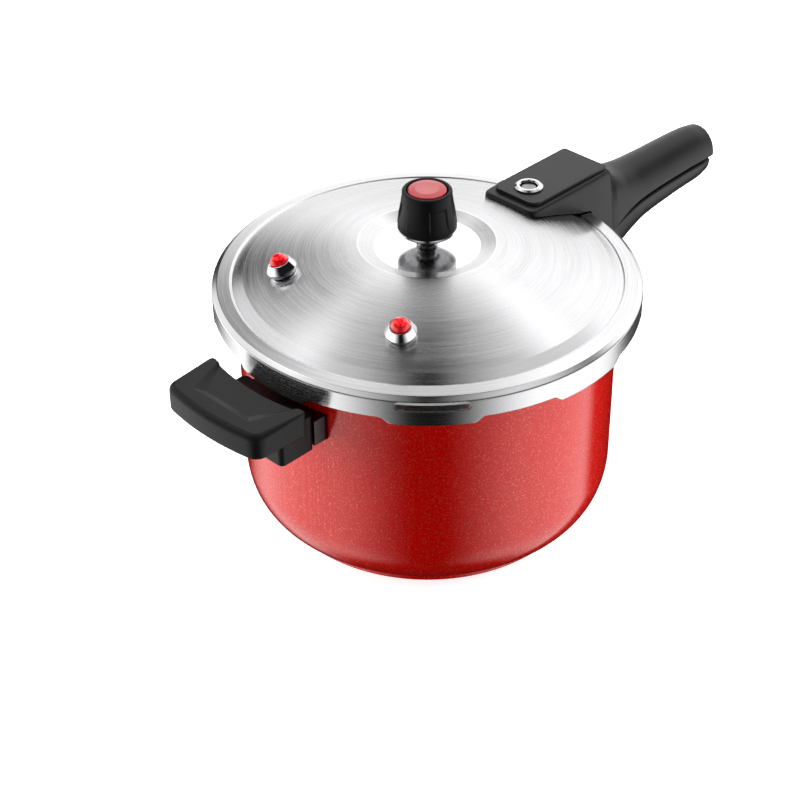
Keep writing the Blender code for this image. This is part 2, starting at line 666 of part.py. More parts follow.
def lid_handle(parent):
    sections = []
    for x, half_low, half_high, crown_z, squareness in UPPER_HANDLE_STATIONS:
        sections.append(grip_section(x, half_low, half_high, split_z(x) + SPLIT_GAP / 2.0, crown_z, squareness))
    handle = add_object("lid_handle", loft_sections(sections))
    cut(handle, lid_clearance())
    half = POCKET_HALF_WIDTH
    cut(handle, add_object("pocket", box((POCKET_X[0], -half, POCKET_Z), (POCKET_X[1], half, 185.0))))
    slot_half = STRIP_HALF_WIDTH + GAP
    slot = prism(strip_outline(-slot_half, GAP, 8.0), (0.0, 2.0 * slot_half, 0.0))
    cut(handle, add_object("slot", slot))
    cut(handle, add_object("counterbore", rod(COUNTERBORE_RADIUS, 120.0, 138.6, 20, (LID_SCREW_X, 0.0))))
    cut(handle, add_object("hole", rod(SCREW_HOLE_RADIUS, 130.0, 161.5, 16, (LID_SCREW_X, 0.0))))
    cut(handle, add_object("float_hole", rod(FLOAT_HOLE_RADIUS, 150.0, 172.0, 16, (FLOAT_X, 0.0))))
    finish_object(handle, BLACK_PLASTIC, parent)


def handle_cover_plate(parent):
    low_x, high_x = PLATE_X
    plate_bm = box((low_x, -PLATE_HALF_WIDTH, PLATE_Z[0]), (high_x, PLATE_HALF_WIDTH, PLATE_Z[1]))
    front = []
    for edge in plate_bm.edges:
        upright = abs(edge.verts[0].co.z - edge.verts[1].co.z) > 0.5
        if upright and edge.verts[0].co.x < low_x + 1.0:
            front.append(edge)
    bmesh.ops.bevel(plate_bm, geom=front, offset=4.0, offset_type="OFFSET", segments=4, profile=0.5,
                    affect="EDGES")
    plate = add_object("handle_cover_plate", plate_bm)
    cut(plate, add_object("eyelet_hole", rod(6.5, 170.0, 180.0, 24, (FLOAT_X, 0.0))))
    finish_object(plate, BLACK_PLASTIC, parent)


def float_eyelet(parent):
    plate_top = PLATE_Z[1] + GAP
    profile = [(5.2, PLATE_Z[0]), (6.2, PLATE_Z[0]), (6.2, plate_top), (8.75, plate_top), (8.75, plate_top + 0.5),
               (7.9, plate_top + 1.3), (6.7, plate_top + 1.5), (5.2, plate_top)]
    bm = turned(profile, 28)
    bmesh.ops.translate(bm, vec=(FLOAT_X, 0.0, 0.0), verts=bm.verts)
    return add_object("float_eyelet", bm, BRIGHT_STEEL, parent)


def float_pin(parent):
    """Mushroom pin in its own frame, head down; local zero is the head's underside."""
    tip = 174.6 - FLOAT_BASE_Z
    profile = [(0.0, 0.0), (4.4, 0.0), (5.0, 0.6), (5.0, 2.0), (PIN_RADIUS, 2.0), (PIN_RADIUS, tip - 0.8),
               (2.0, tip), (0.0, tip)]
    return add_object("float_pin", turned(profile, 16), BRIGHT_STEEL, parent)


def float_seal(parent):
    inner = PIN_RADIUS + GAP
    profile = [(inner, 2.3), (5.2, 2.3), (5.2, 3.5), (4.6, 3.8), (inner, 3.8)]
    return add_object("float_seal", turned(profile, 16), SILICONE, parent)


def float_clip(parent):
    low = 172.9 - FLOAT_BASE_Z
    inner = PIN_RADIUS + GAP
    profile = [(inner, low), (4.5, low), (4.5, low + 0.8), (inner, low + 0.8)]
    return add_object("float_clip", turned(profile, 16), STEEL, parent)


def lock_slide(parent):
    """Slotted plate in its own frame; local zero is the float pin's axis."""
    low = POCKET_Z + 0.4
    half = POCKET_HALF_WIDTH - 0.4
    plate = add_object("lock_slide", box((-10.0, -half, low), (SLIDE_BACK, half, low + SLIDE_THICK)))
    slot_half = PIN_RADIUS + 0.6
    slot_bm = box((-7.5, -slot_half, 160.0), (6.5, slot_half, 180.0))
    upright = [edge for edge in slot_bm.edges if abs(edge.verts[0].co.z - edge.verts[1].co.z) > 1.0]
    bmesh.ops.bevel(slot_bm, geom=upright, offset=3.2, offset_type="OFFSET", segments=3, profile=0.5,
                    affect="EDGES")
    cut(plate, add_object("pin_slot", slot_bm))
    finish_object(plate, STEEL, parent)


def lock_spring(parent):
    """Compression spring along X between the slide and the pocket's rear wall."""
    length = POCKET_X[1] - FLOAT_X - SLIDE_BACK - 2.0 * GAP
    bm = coil(1.7, 0.35, 0.0, length, 6.0)
    bmesh.ops.rotate(bm, verts=bm.verts, cent=(0, 0, 0), matrix=Matrix.Rotation(math.pi / 2.0, 3, "Y"))
    bmesh.ops.translate(bm, vec=(SLIDE_BACK + GAP, 0.0, POCKET_Z + 2.5), verts=bm.verts)
    return add_object("lock_spring", bm, STEEL, parent)


# ---------------------------------------------------------------- pressure regulator

def vent_pipe(parent):
    bore = 1.3
    top = WEIGHT_BASE_Z + 9.0
    flange = DISH_Z + GAP
    profile = [(bore, 162.8), (4.3, 162.8), (4.3, flange), (6.4, flange), (6.4, flange + 0.8), (5.5, flange + 1.2),
               (5.5, WEIGHT_BASE_Z - 1.5), (3.7, WEIGHT_BASE_Z), (3.7, top - 2.2), (1.9, top), (bore, top)]
    return add_object("vent_pipe", turned(profile, 20), BRIGHT_STEEL, parent)


def vent_gasket(parent):
    top = DISH_Z - LID_WALL - GAP
    profile = [(VENT_HOLE_RADIUS, top - 1.5), (8.6, top - 1.5), (8.6, top), (VENT_HOLE_RADIUS, top)]
    return add_object("vent_gasket", turned(profile, 20), SILICONE, parent)


def vent_nut(parent):
    top = DISH_Z - LID_WALL - 2.1
    return add_object("vent_nut", hexagon_nut(15.0, VENT_HOLE_RADIUS, top - 3.2, top), STEEL, parent)


def anti_clog_cover(parent):
    """Slotted cap round the vent pipe's inlet."""
    profile = [(0.0, 159.6), (12.0, 159.6), (13.0, 160.6), (13.0, 166.9), (VENT_HOLE_RADIUS, 166.9),
               (VENT_HOLE_RADIUS, 165.9), (12.1, 165.9), (12.1, 160.7), (0.0, 160.7)]
    cover = add_object("anti_clog_cover", turned(profile, 24))
    for turn in range(3):
        slot = box((-20.0, -2.2, 161.6), (20.0, 2.2, 165.0))
        matrix = Matrix.Rotation(math.pi * turn / 3.0, 3, "Z")
        bmesh.ops.rotate(slot, verts=slot.verts, cent=(0, 0, 0), matrix=matrix)
        cut(cover, add_object("steam_slot", slot))
    finish_object(cover, STEEL, parent)


def weight_core(parent):
    """Steel weight in the weight's frame; local zero is the chrome ring's underside."""
    profile = [(4.2, 4.4), (11.7, 4.4), (11.7, 21.7), (0.0, 21.7), (0.0, 9.6), (2.3, 9.6), (4.2, 7.2)]
    return add_object("weight_core", turned(profile, 24), STEEL, parent)


def weight_ring(parent):
    profile = [(6.2, 0.4), (7.6, 0.0), (12.0, 0.5), (16.0, 2.1), (16.6, 2.9), (16.6, 3.8), (6.2, 3.8)]
    return add_object("weight_ring", turned(profile, 32), BRIGHT_STEEL, parent)


def weight_shell(parent):
    profile = [(12.0, 4.1), (16.9, 4.1), (17.2, 5.2), (17.1, 9.0), (16.2, 15.0), (15.0, 21.0), (14.6, 22.0),
               (14.6, 27.8), (14.0, 28.6), (12.7, 28.6), (12.1, 27.9), (12.1, 25.1), (0.0, 25.1), (0.0, 22.0),
               (12.0, 22.0)]
    return add_object("weight_shell", turned(profile, 32), BLACK_PLASTIC, parent)


def weight_badge(parent):
    profile = [(0.0, 25.4), (11.6, 25.4), (11.6, 27.9), (10.9, 28.7), (7.0, 29.4), (0.0, 29.7)]
    return add_object("weight_badge", turned(profile, 28), RED_PLASTIC, parent)


# ---------------------------------------------------------------- safety valves

def valve_matrix(degrees):
    """Frame of a safety valve: on the dome, local Z square to it."""
    angle = math.radians(degrees)
    tilt = math.atan(2.0 * DOME_FALL * VALVE_RADIUS)
    place = shift(VALVE_RADIUS * math.cos(angle), VALVE_RADIUS * math.sin(angle), dome_z(VALVE_RADIUS))
    return place @ Matrix.Rotation(angle, 4, "Z") @ Matrix.Rotation(tilt, 4, "Y")


def safety_valve(number, valve_parent, plunger_parent):
    end = "_%d" % number
    body = [(2.1, -7.8), (5.0, -7.8), (5.0, 0.35), (7.4, 0.35), (7.4, 1.9), (8.9, 2.9), (8.9, 3.9), (6.4, 8.4),
            (5.7, 8.4), (5.7, 7.2), (2.7, 7.2), (2.7, 6.0), (4.2, 6.0), (4.2, -5.4), (2.1, -5.4)]
    add_object("safety_valve_body" + end, turned(body, 20), BRIGHT_STEEL, valve_parent)
    plunger = [(0.0, -7.4), (1.7, -7.4), (1.7, -5.1), (3.8, -5.1), (3.8, -3.9), (1.6, -3.9), (1.6, 8.3), (0.0, 8.3)]
    add_object("safety_valve_plunger" + end, turned(plunger, 12), STEEL, plunger_parent)
    cap = [(1.9, 7.6), (5.3, 7.6), (5.3, 8.8), (3.9, 11.2), (2.2, 12.1), (0.0, 12.3), (0.0, 8.6), (1.9, 8.6)]
    add_object("safety_valve_cap" + end, turned(cap, 20), RED_PLASTIC, plunger_parent)
    spring = coil(2.95, 0.45, -3.5, 5.6, 4.5)
    add_object("safety_valve_spring" + end, spring, STEEL, plunger_parent)
    under_lid = -LID_WALL - 0.5
    seal = [(VALVE_HOLE_RADIUS, under_lid - 1.5), (8.6, under_lid - 1.5), (8.6, under_lid),
            (VALVE_HOLE_RADIUS, under_lid)]
    add_object("safety_valve_seal" + end, turned(seal, 20), SILICONE, valve_parent)
    nut = hexagon_nut(16.0, VALVE_HOLE_RADIUS, under_lid - 1.8 - 3.0, under_lid - 1.8)
    add_object("safety_valve_nut" + end, nut, STEEL, valve_parent)


def build_pot():
    pot = frame("pot_frame")
    pot_body(pot)
    base_core(pot)
    base_cap(pot)
    pot_handle_bracket(pot)
    lower_handle(pot)
    screw("lower_handle_screw", LOWER_SCREW_X, 104.2, 121.5, pot)
    helper_bracket(pot)
    helper_handle(pot)
    screw("helper_handle_screw", HELPER_SCREW_X, 110.5, 119.5, pot)
    return pot


def build_lid(pot):
    lift = frame("lid_lift_frame", pot)
    sealing_ring(lift)
    lid = frame("lid_turn_frame", lift)
    lid_shell(lid)
    lid_handle_bracket(lid)
    lid_handle(lid)
    handle_cover_plate(lid)
    screw("lid_handle_screw", LID_SCREW_X, 138.3, 160.5, lid)
    float_eyelet(lid)
    vent_pipe(lid)
    vent_gasket(lid)
    vent_nut(lid)
    anti_clog_cover(lid)
    return lid


def build_movers(lid):
    weight = frame("weight_frame", lid, shift(0.0, 0.0, WEIGHT_BASE_Z))
    weight_core(weight)
    weight_ring(weight)
    weight_shell(weight)
    weight_badge(weight)
    float_frame = frame("float_frame", lid, shift(FLOAT_X, 0.0, FLOAT_BASE_Z))
    float_pin(float_frame)
    float_seal(float_frame)
    float_clip(float_frame)
    lock_frame = frame("lock_frame", lid, shift(FLOAT_X, 0.0, 0.0))
    lock_slide(lock_frame)
    lock_spring(lock_frame)
    for number, degrees in enumerate(VALVE_DEG, start=1):
        valve = frame("safety_valve_frame_%d" % number, lid, valve_matrix(degrees))
        plunger = frame("plunger_frame_%d" % number, valve)
        safety_valve(number, valve, plunger)


clear_scene()
build_movers(build_lid(build_pot()))
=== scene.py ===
"""Looks of the family pressure cooker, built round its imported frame.

Shapes are drawn in millimetres in the frame's own axes and scaled by MM when a mesh is made.
"""

import json
import math
from math import cos, pi, radians, sin

import bmesh
import bpy
from mathutils import Matrix, Vector


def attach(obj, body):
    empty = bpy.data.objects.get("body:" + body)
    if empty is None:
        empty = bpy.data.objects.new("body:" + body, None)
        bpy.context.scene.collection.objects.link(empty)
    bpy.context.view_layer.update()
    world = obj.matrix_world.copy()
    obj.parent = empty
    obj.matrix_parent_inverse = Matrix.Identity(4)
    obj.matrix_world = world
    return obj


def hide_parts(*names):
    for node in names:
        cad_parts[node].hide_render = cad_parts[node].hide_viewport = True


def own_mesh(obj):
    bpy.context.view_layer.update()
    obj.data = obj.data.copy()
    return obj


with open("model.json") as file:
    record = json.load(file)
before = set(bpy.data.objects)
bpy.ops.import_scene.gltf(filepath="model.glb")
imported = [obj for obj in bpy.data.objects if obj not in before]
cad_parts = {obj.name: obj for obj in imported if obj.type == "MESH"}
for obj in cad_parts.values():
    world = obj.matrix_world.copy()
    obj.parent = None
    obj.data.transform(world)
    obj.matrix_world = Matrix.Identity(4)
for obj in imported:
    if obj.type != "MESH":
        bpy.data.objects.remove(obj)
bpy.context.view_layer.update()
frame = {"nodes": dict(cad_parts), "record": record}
SCENE = bpy.context.scene

MM = 0.001
FINE_STEPS = 480                # segments of the lid and the pot, 0.75 degrees each
SMALL_STEPS = 96                # segments of the small turned pieces

# Pot
POT_RADIUS = 112.0
POT_WALL = 1.8
POT_FLOOR_Z = 8.0
CORNER_WIDE = 15.5
CORNER_HIGH = 29.0
COLLAR_RADIUS = 116.3
COLLAR_Z = 136.5
POT_TOP_Z = 148.3
POT_LUG_RADIUS = 122.6
POT_LUG_Z = (139.0, 141.3)
POT_LUG_HALF_DEG = 7.3
POT_COLUMN_Z = 100.0            # any height on the wall's straight part
BASE_RADIUS = 94.8
BASE_CAP_WALL = 1.1
LUGS = 8
LUG_PITCH_DEG = 360.0 / LUGS

# Lid
LID_RADIUS = 125.86
LID_WALL = 1.2
DOME_TOP_Z = 179.5
DOME_EDGE_RADIUS = 114.7
FLANGE_Z = 155.3
DOME_FALL = (DOME_TOP_Z - FLANGE_Z) / DOME_EDGE_RADIUS ** 2
DISH_RADIUS = 31.0
DISH_Z = 173.9
SHOULDER_RADIUS = 107.4         # the dome falls away from its curve beyond this radius
SKIRT_BOTTOM_Z = 140.4
SKIRT_BEND_Z = 144.5            # the tabs begin to drop below this height
SKIRT_MIN_RADIUS = 120.0
LID_LUG_Z = (136.5, 137.9)
LID_LUG_INNER_RADIUS = 118.3
LID_LUG_HALF_DEG = 12.5
WINDOW_DEG = -135.0
WINDOW_HALF_LENGTH = 21.0
WINDOW_Z = (145.6, 151.6)

# Handles
# x and height of the parting line between the handle's halves
SPLIT_LINE = ((112.0, 127.2), (140.0, 127.8), (150.0, 129.2), (160.0, 131.4), (170.0, 133.3), (183.0, 134.7),
              (200.0, 135.3), (232.0, 135.5), (250.0, 134.9), (265.0, 133.6))
SPLIT_GAP = 2.0
PLATE_Z = (173.9, 175.8)
PLATE_X = (75.0, 142.0)
PLATE_HALF_WIDTH = 17.0
POCKET_X = (78.5, 133.0)
POCKET_HALF_WIDTH = 7.6
POCKET_Z = 168.2
STRIP_HALF_WIDTH = 8.0
SLOT_CLEARANCE = 0.3
SECTION_POINTS = 64
PARTING_CHAMFER = 1.0
COUNTERBORE_RADIUS = 4.8
SCREW_HOLE_RADIUS = 2.4
LID_SCREW_X = 146.0
LOWER_SCREW_X = 138.0
HELPER_INNER_RADIUS = 138.0
HELPER_OUTER_RADIUS = 173.0
HELPER_Z = (128.0, 144.0)
HELPER_TOP_FILLETS = (3.6, 1.0)     # round the outside, along the pot
HELPER_FOOT_FILLET = 2.4
HELPER_SCREW_X = -131.0

# Lid fittings
FLOAT_X = 89.0
FLOAT_BASE_Z = 153.5
FLOAT_TIP_Z = 176.0
FLOAT_HOLE_RADIUS = 3.3
EYELET_HOLE_RADIUS = 6.5
WEIGHT_BASE_Z = 182.0
VALVE_DEG = (146.0, -146.0)
VALVE_RADIUS = 84.3
VALVE_HOLE_RADIUS = 5.3


# ---- node helpers

def graph(name):
    """A new node material, its tree and its Principled shader."""
    mat = bpy.data.materials.new(name)
    mat.use_nodes = True
    return mat, mat.node_tree, mat.node_tree.nodes["Principled BSDF"]


def node(tree, kind, settings=None, **inputs):
    """Adds a node; an input is given a value or linked from a socket."""
    made = tree.nodes.new("ShaderNode" + kind)
    for name, value in (settings or {}).items():
        setattr(made, name, value)
    for name, value in inputs.items():
        socket = made.inputs[int(name[1:])] if name[1:].isdigit() else made.inputs[name.replace("_", " ")]
        feed(tree, socket, value)
    return made


def feed(tree, socket, value):
    """Links a socket when the value comes from a node, or else sets it."""
    if isinstance(value, bpy.types.NodeSocket):
        tree.links.new(value, socket)
    else:
        socket.default_value = value


def maths(tree, operation, first, second=0.0):
    return node(tree, "Math", {"operation": operation}, i0=first, i1=second).outputs[0]


def scaled(tree, first, second):
    return maths(tree, "MULTIPLY", first, second)


def added(tree, first, second):
    return maths(tree, "ADD", first, second)


def vectors(tree, operation, first, **inputs):
    """The outputs of a vector maths node."""
    return node(tree, "VectorMath", {"operation": operation}, i0=first, **inputs).outputs


def spread(tree, value, from_low, from_high, low, high):
    """Maps a value from one range to another, clamped."""
    made = node(tree, "MapRange", Value=value, From_Min=from_low, From_Max=from_high,
                To_Min=low, To_Max=high)
    return made.outputs["Result"]


def mixed(tree, share, first, second):
    """Colour between two colours."""
    made = node(tree, "Mix", {"data_type": "RGBA"})
    feed(tree, made.inputs[0], share)
    feed(tree, made.inputs[6], first)
    feed(tree, made.inputs[7], second)
    return made.outputs[2]


def noise(tree, vector, scale, detail=3.0, roughness=0.5):
    made = node(tree, "TexNoise", Vector=vector, Scale=scale, Detail=detail, Roughness=roughness)
    return made.outputs["Fac"]


def object_point(tree):
    return node(tree, "TexCoord").outputs["Object"]


def bumped(tree, shader, height, distance):
    made = node(tree, "Bump", Height=height, Distance=distance, Strength=1.0)
    tree.links.new(made.outputs["Normal"], shader.inputs["Normal"])


def coloured(tree, shader, share, first, second):
    """Base colour that varies between two colours."""
    tree.links.new(mixed(tree, share, first, second), shader.inputs["Base Color"])


def roughened(tree, shader, tone, low, high):
    """Roughness that follows a noise tone between two values."""
    tree.links.new(spread(tree, tone, 0.3, 0.7, low, high), shader.inputs["Roughness"])


def fixed(shader, **values):
    """Constant inputs of a shader; an underscore stands for a space in a name."""
    for name, value in values.items():
        shader.inputs[name.replace("_", " ")].default_value = value


def shade(colour, factor):
    """An RGBA colour, made lighter or darker."""
    return tuple(min(channel * factor, 1.0) for channel in colour) + (1.0,)


def blended(tree, first, second, share):
    """Sum of two tones; share is the first one's part."""
    return added(tree, scaled(tree, first, share), scaled(tree, second, 1.0 - share))


def lathe_vector(tree, pitch, arc):
    """Coordinates that run fast along the radius and the height and slowly round the axis."""
    point = object_point(tree)
    flat = vectors(tree, "MULTIPLY", point, i1=(1.0, 1.0, 0.0))[0]
    radius = vectors(tree, "LENGTH", flat)["Value"]
    around = vectors(tree, "NORMALIZE", flat)[0]
    slow = vectors(tree, "SCALE", around, Scale=arc)[0]
    height = node(tree, "SeparateXYZ", Vector=point).outputs["Z"]
    line = added(tree, scaled(tree, radius, 1.0 / pitch), scaled(tree, height, 1.0 / pitch))
    lift = node(tree, "CombineXYZ", Z=line).outputs[0]
    return vectors(tree, "ADD", slow, i1=lift)[0]


# ---- materials

def turned_steel(name, roughness, anisotropy, depth, colour):
    """Steel brushed round the pot's axis: fine grooves and broad rings."""
    mat, tree, shader = graph(name)
    fine = noise(tree, lathe_vector(tree, 0.0006, 2.0), 1.0, 4.0, 0.7)
    rings = noise(tree, lathe_vector(tree, 0.0045, 0.35), 1.0, 3.0, 0.6)
    both = blended(tree, fine, rings, 0.65)
    coloured(tree, shader, spread(tree, both, 0.3, 0.7, 0.0, 1.0), shade(colour, 0.86), shade(colour, 1.1))
    fixed(shader, Metallic=1.0, Anisotropic=anisotropy, Anisotropic_Rotation=0.25)
    roughened(tree, shader, both, roughness * 0.8, roughness * 1.25)
    tangent = node(tree, "Tangent", {"direction_type": "RADIAL", "axis": "Z"}).outputs[0]
    tree.links.new(tangent, shader.inputs["Tangent"])
    bumped(tree, shader, both, depth)
    return mat


def formed_steel(name, roughness=0.3, colour=(0.62, 0.62, 0.63)):
    """Pressed steel with rolling streaks and cloudy roughness."""
    mat, tree, shader = graph(name)
    point = object_point(tree)
    stretched = node(tree, "Mapping", Vector=point, Scale=(300.0, 1800.0, 1800.0)).outputs[0]
    tone = blended(tree, noise(tree, stretched, 1.0, 4.0), noise(tree, point, 140.0, 3.0), 0.6)
    coloured(tree, shader, tone, shade(colour, 0.8), shade(colour, 1.15))
    fixed(shader, Metallic=1.0)
    roughened(tree, shader, tone, roughness * 0.75, roughness * 1.3)
    bumped(tree, shader, tone, 0.00002)
    return mat


def polished_steel(name, roughness=0.07, bright=0.9):
    """Bright turned steel with faint cloudy wipe marks."""
    mat, tree, shader = graph(name)
    clouds = noise(tree, object_point(tree), 260.0, 4.0)
    coloured(tree, shader, clouds, (bright * 0.9, bright * 0.9, bright * 0.91, 1.0),
             (bright, bright, bright * 1.01, 1.0))
    fixed(shader, Metallic=1.0)
    roughened(tree, shader, clouds, roughness * 0.6, roughness * 1.6)
    bumped(tree, shader, clouds, 0.000006)
    return mat


FLECKS = ((0.00042, 0.24), (0.0008, 0.08))      # cell size in metres, share of the cells that shine


def flecked_enamel(name):
    """Red metallic coat: gold flecks of two sizes, faint orange peel and a thin clear coat."""
    mat, tree, shader = graph(name)
    point = object_point(tree)
    red = ((0.52, 0.0001, 0.0002, 1.0), (0.58, 0.0004, 0.0005, 1.0))
    gold = (0.95, 0.42, 0.16, 1.0)
    tint = mixed(tree, noise(tree, point, 60.0, 2.0), *red)
    glitter = 0.0
    for cell, share in FLECKS:
        cells = node(tree, "TexVoronoi", {"feature": "F1"}, Vector=point, Scale=1.0 / cell, Randomness=1.0)
        chance = node(tree, "SeparateColor", Color=cells.outputs["Color"]).outputs[0]
        chosen = maths(tree, "LESS_THAN", chance, share)
        speck = scaled(tree, chosen, spread(tree, cells.outputs["Distance"], 0.26, 0.46, 1.0, 0.0))
        tint = mixed(tree, scaled(tree, speck, 0.42), tint, gold)
        glitter = added(tree, glitter, speck)
    tree.links.new(tint, shader.inputs["Base Color"])
    tree.links.new(spread(tree, glitter, 0.0, 1.0, 0.30, 0.85), shader.inputs["Metallic"])
    tree.links.new(spread(tree, glitter, 0.0, 1.0, 0.55, 0.35), shader.inputs["Roughness"])
    fixed(shader, Specular_IOR_Level=0.0, Coat_Weight=0.9, Coat_Roughness=0.12)
    peel = noise(tree, point, 240.0, 2.0)
    bumped(tree, shader, added(tree, scaled(tree, glitter, 0.5), peel), 0.00001)
    return mat


def grained_plastic(name, colour, roughness, grain, depth, gloss):
    """Moulded plastic: a fine spark-eroded grain, faint mottling and a painted highlight on its sharp convex
    edges.
    """
    mat, tree, shader = graph(name)
    point = object_point(tree)
    pits = noise(tree, point, 1.0 / grain, 3.0, 0.6)
    clouds = noise(tree, point, 45.0, 4.0)
    # painted highlight: the base colour turns lighter on sharp convex edges, where a sheen would catch the
    # light
    pointiness = node(tree, "NewGeometry").outputs["Pointiness"]
    painted_edge_highlight = spread(tree, pointiness, 0.52, 0.60, 0.0, 1.0)
    base = mixed(tree, clouds, shade(colour, 0.8), shade(colour, 1.3))
    coloured(tree, shader, scaled(tree, painted_edge_highlight, 0.35), base, shade(colour, 2.2))
    roughened(tree, shader, blended(tree, pits, clouds, 0.5), roughness * 0.85, roughness * 1.15)
    fixed(shader, Specular_IOR_Level=gloss)
    bumped(tree, shader, pits, depth)
    return mat


def gloss_red(name, base=(0.20, 0.002, 0.004), roughness=0.16, coat_roughness=0.08):
    """Glossy tinted moulding with faint flow marks under its skin."""
    mat, tree, shader = graph(name)
    flow = noise(tree, object_point(tree), 420.0, 4.0, 0.6)
    light = (base[0] * 1.35, base[1] * 2.4, base[2] * 2.3, 1.0)
    coloured(tree, shader, flow, base + (1.0,), light)
    roughened(tree, shader, flow, roughness, roughness + 0.10)
    fixed(shader, Coat_Weight=0.6, Coat_Roughness=coat_roughness)
    bumped(tree, shader, flow, 0.000012)
    return mat


def silicone(name):
    """Milky rubber with dusty patches."""
    mat, tree, shader = graph(name)
    dust = noise(tree, object_point(tree), 90.0, 5.0, 0.6)
    coloured(tree, shader, dust, (0.56, 0.56, 0.54, 1.0), (0.72, 0.72, 0.70, 1.0))
    roughened(tree, shader, dust, 0.42, 0.60)
    fixed(shader, Subsurface_Weight=0.3, Subsurface_Scale=0.002)
    bumped(tree, shader, dust, 0.00003)
    return mat


MATERIALS = {
    "dome": turned_steel("lid_dome_steel", 0.25, 0.93, 0.000013, (0.74, 0.74, 0.75)),
    "disc": turned_steel("lid_disc_steel", 0.15, 0.3, 0.000003, (0.86, 0.86, 0.87)),
    "rim": turned_steel("lid_rim_steel", 0.2, 0.7, 0.000008, (0.80, 0.80, 0.81)),
    "skirt": turned_steel("lid_skirt_steel", 0.26, 0.85, 0.000018, (0.66, 0.66, 0.67)),
    "inside": turned_steel("pot_inside_steel", 0.32, 0.6, 0.00002, (0.66, 0.66, 0.67)),
    "steel": formed_steel("formed_steel"),
    "aluminium": formed_steel("spreader_aluminium", 0.42, (0.74, 0.75, 0.76)),
    "chrome": polished_steel("polished_steel"),
    # near-black steel for the short handle's bracket: painted shade, far darker than the steel itself
    "painted_shade_steel": formed_steel("painted_shade_steel", 0.3, (0.07, 0.07, 0.074)),
    # polished steel darkened for the vent stem under the weight: painted shade
    "painted_shade_chrome": polished_steel("painted_shade_polished_steel", 0.18, 0.42),
    # dark polished steel for the weight ring's underside and the float pin in the eyelet: painted shade
    "bowl": polished_steel("painted_shade_bowl_steel", 0.2, 0.26),
    "eyelet": polished_steel("eyelet_steel", 0.14, 0.7),
    "enamel": flecked_enamel("flecked_red_enamel"),
    "handle": grained_plastic("grained_black_handle", (0.0085, 0.0085, 0.0088), 0.34, 0.00045, 0.00003, 0.20),
    # the short handle's plastic: a darker, less glossy copy of the handle's, painted shade
    "grip": grained_plastic("painted_shade_black_grip", (0.007, 0.007, 0.0073), 0.36, 0.00045, 0.00003, 0.12),
    "knob": grained_plastic("satin_black_knob", (0.0045, 0.0045, 0.0047), 0.36, 0.0005, 0.00002, 0.14),
    "red": gloss_red("gloss_red_plastic"),
    "cap_red": gloss_red("clear_red_plastic", (0.52, 0.001, 0.003), 0.08, 0.03),
    "silicone": silicone("milky_silicone"),
}


# ---- mesh helpers

def filleted(corners, steps=5):
    """Closed outline from (x, y, radius) corners; each corner with a radius becomes an arc."""
    outline = []
    count = len(corners)
    for index, corner in enumerate(corners):
        here = Vector(corner[:2])
        radius = corner[2] if len(corner) > 2 else 0.0
        back = Vector(corners[index - 1][:2]) - here
        ahead = Vector(corners[(index + 1) % count][:2]) - here
        angle = back.angle(ahead, pi)
        if radius <= 0.0 or angle > radians(176.0):
            outline.append(tuple(here))
            continue
        reach = min(radius / math.tan(angle / 2.0), 0.48 * back.length, 0.48 * ahead.length)
        radius = reach * math.tan(angle / 2.0)
        middle = (back.normalized() + ahead.normalized()).normalized()
        centre = here + middle * (radius / sin(angle / 2.0))
        start = here + back.normalized() * reach - centre
        turn = start.angle_signed(here + ahead.normalized() * reach - centre)
        for step in range(steps + 1):
            share = step / steps
            spoke = Matrix.Rotation(-turn * share, 2) @ start
            outline.append(tuple(centre + spoke))
    return outline


def spun(outline, steps):
    """A closed (radius, height) outline turned about Z."""
    bm = bmesh.new()
    rings = []
    for radius, height in outline:
        if radius < 1e-6:
            rings.append([bm.verts.new((0.0, 0.0, height))])
            continue
        ring = []
        for step in range(steps):
            angle = math.tau * step / steps
            ring.append(bm.verts.new((radius * cos(angle), radius * sin(angle), height)))
        rings.append(ring)
    for first, second in zip(rings, rings[1:] + rings[:1]):
        if len(first) == 1 and len(second) == 1:
            continue
        for step in range(steps):
            after = (step + 1) % steps
            corners = [first[step % len(first)], first[after % len(first)],
                       second[after % len(second)], second[step % len(second)]]
            bm.faces.new(list(dict.fromkeys(corners)))
    return bm


def box(low, high):
    bm = bmesh.new()
    size = Vector(high) - Vector(low)
    middle = (Vector(high) + Vector(low)) / 2.0
    bmesh.ops.create_cube(bm, size=1.0, matrix=Matrix.Translation(middle) @ Matrix.Diagonal(size.to_4d()))
    return bm


def rod(radius, low_z, high_z, x=0.0):
    bm = spun([(0.0, low_z), (radius, low_z), (radius, high_z), (0.0, high_z)], 48)
    return moved(bm, Matrix.Translation((x, 0.0, 0.0)))


def skinned(rings):
    """Skins a row of equal closed rings of points and closes both ends."""
    bm = bmesh.new()
    rows = [[bm.verts.new(point) for point in ring] for ring in rings]
    for first, second in zip(rows, rows[1:]):
        for index in range(len(first)):
            after = (index + 1) % len(first)
            bm.faces.new((first[index], first[after], second[after], second[index]))
    bm.faces.new(rows[0])
    bm.faces.new(rows[-1])
    return bm


def rounded_edges(bm, chosen, width, segments=4):
    edges = [edge for edge in bm.edges if chosen(edge)]
    bmesh.ops.bevel(bm, geom=edges, offset=width, offset_type="OFFSET", segments=segments, profile=0.5,
                    affect="EDGES", clamp_overlap=True)


def linked(name, data):
    """A new object in the scene."""
    obj = bpy.data.objects.new(name, data)
    SCENE.collection.objects.link(obj)
    return obj


def dress(obj, *keys):
    """Gives an object its materials, in the order of its faces' indices."""
    obj.data.materials.clear()
    for key in keys:
        obj.data.materials.append(MATERIALS[key])


def moved(bm, matrix):
    bmesh.ops.transform(bm, matrix=matrix, verts=bm.verts)
    return bm


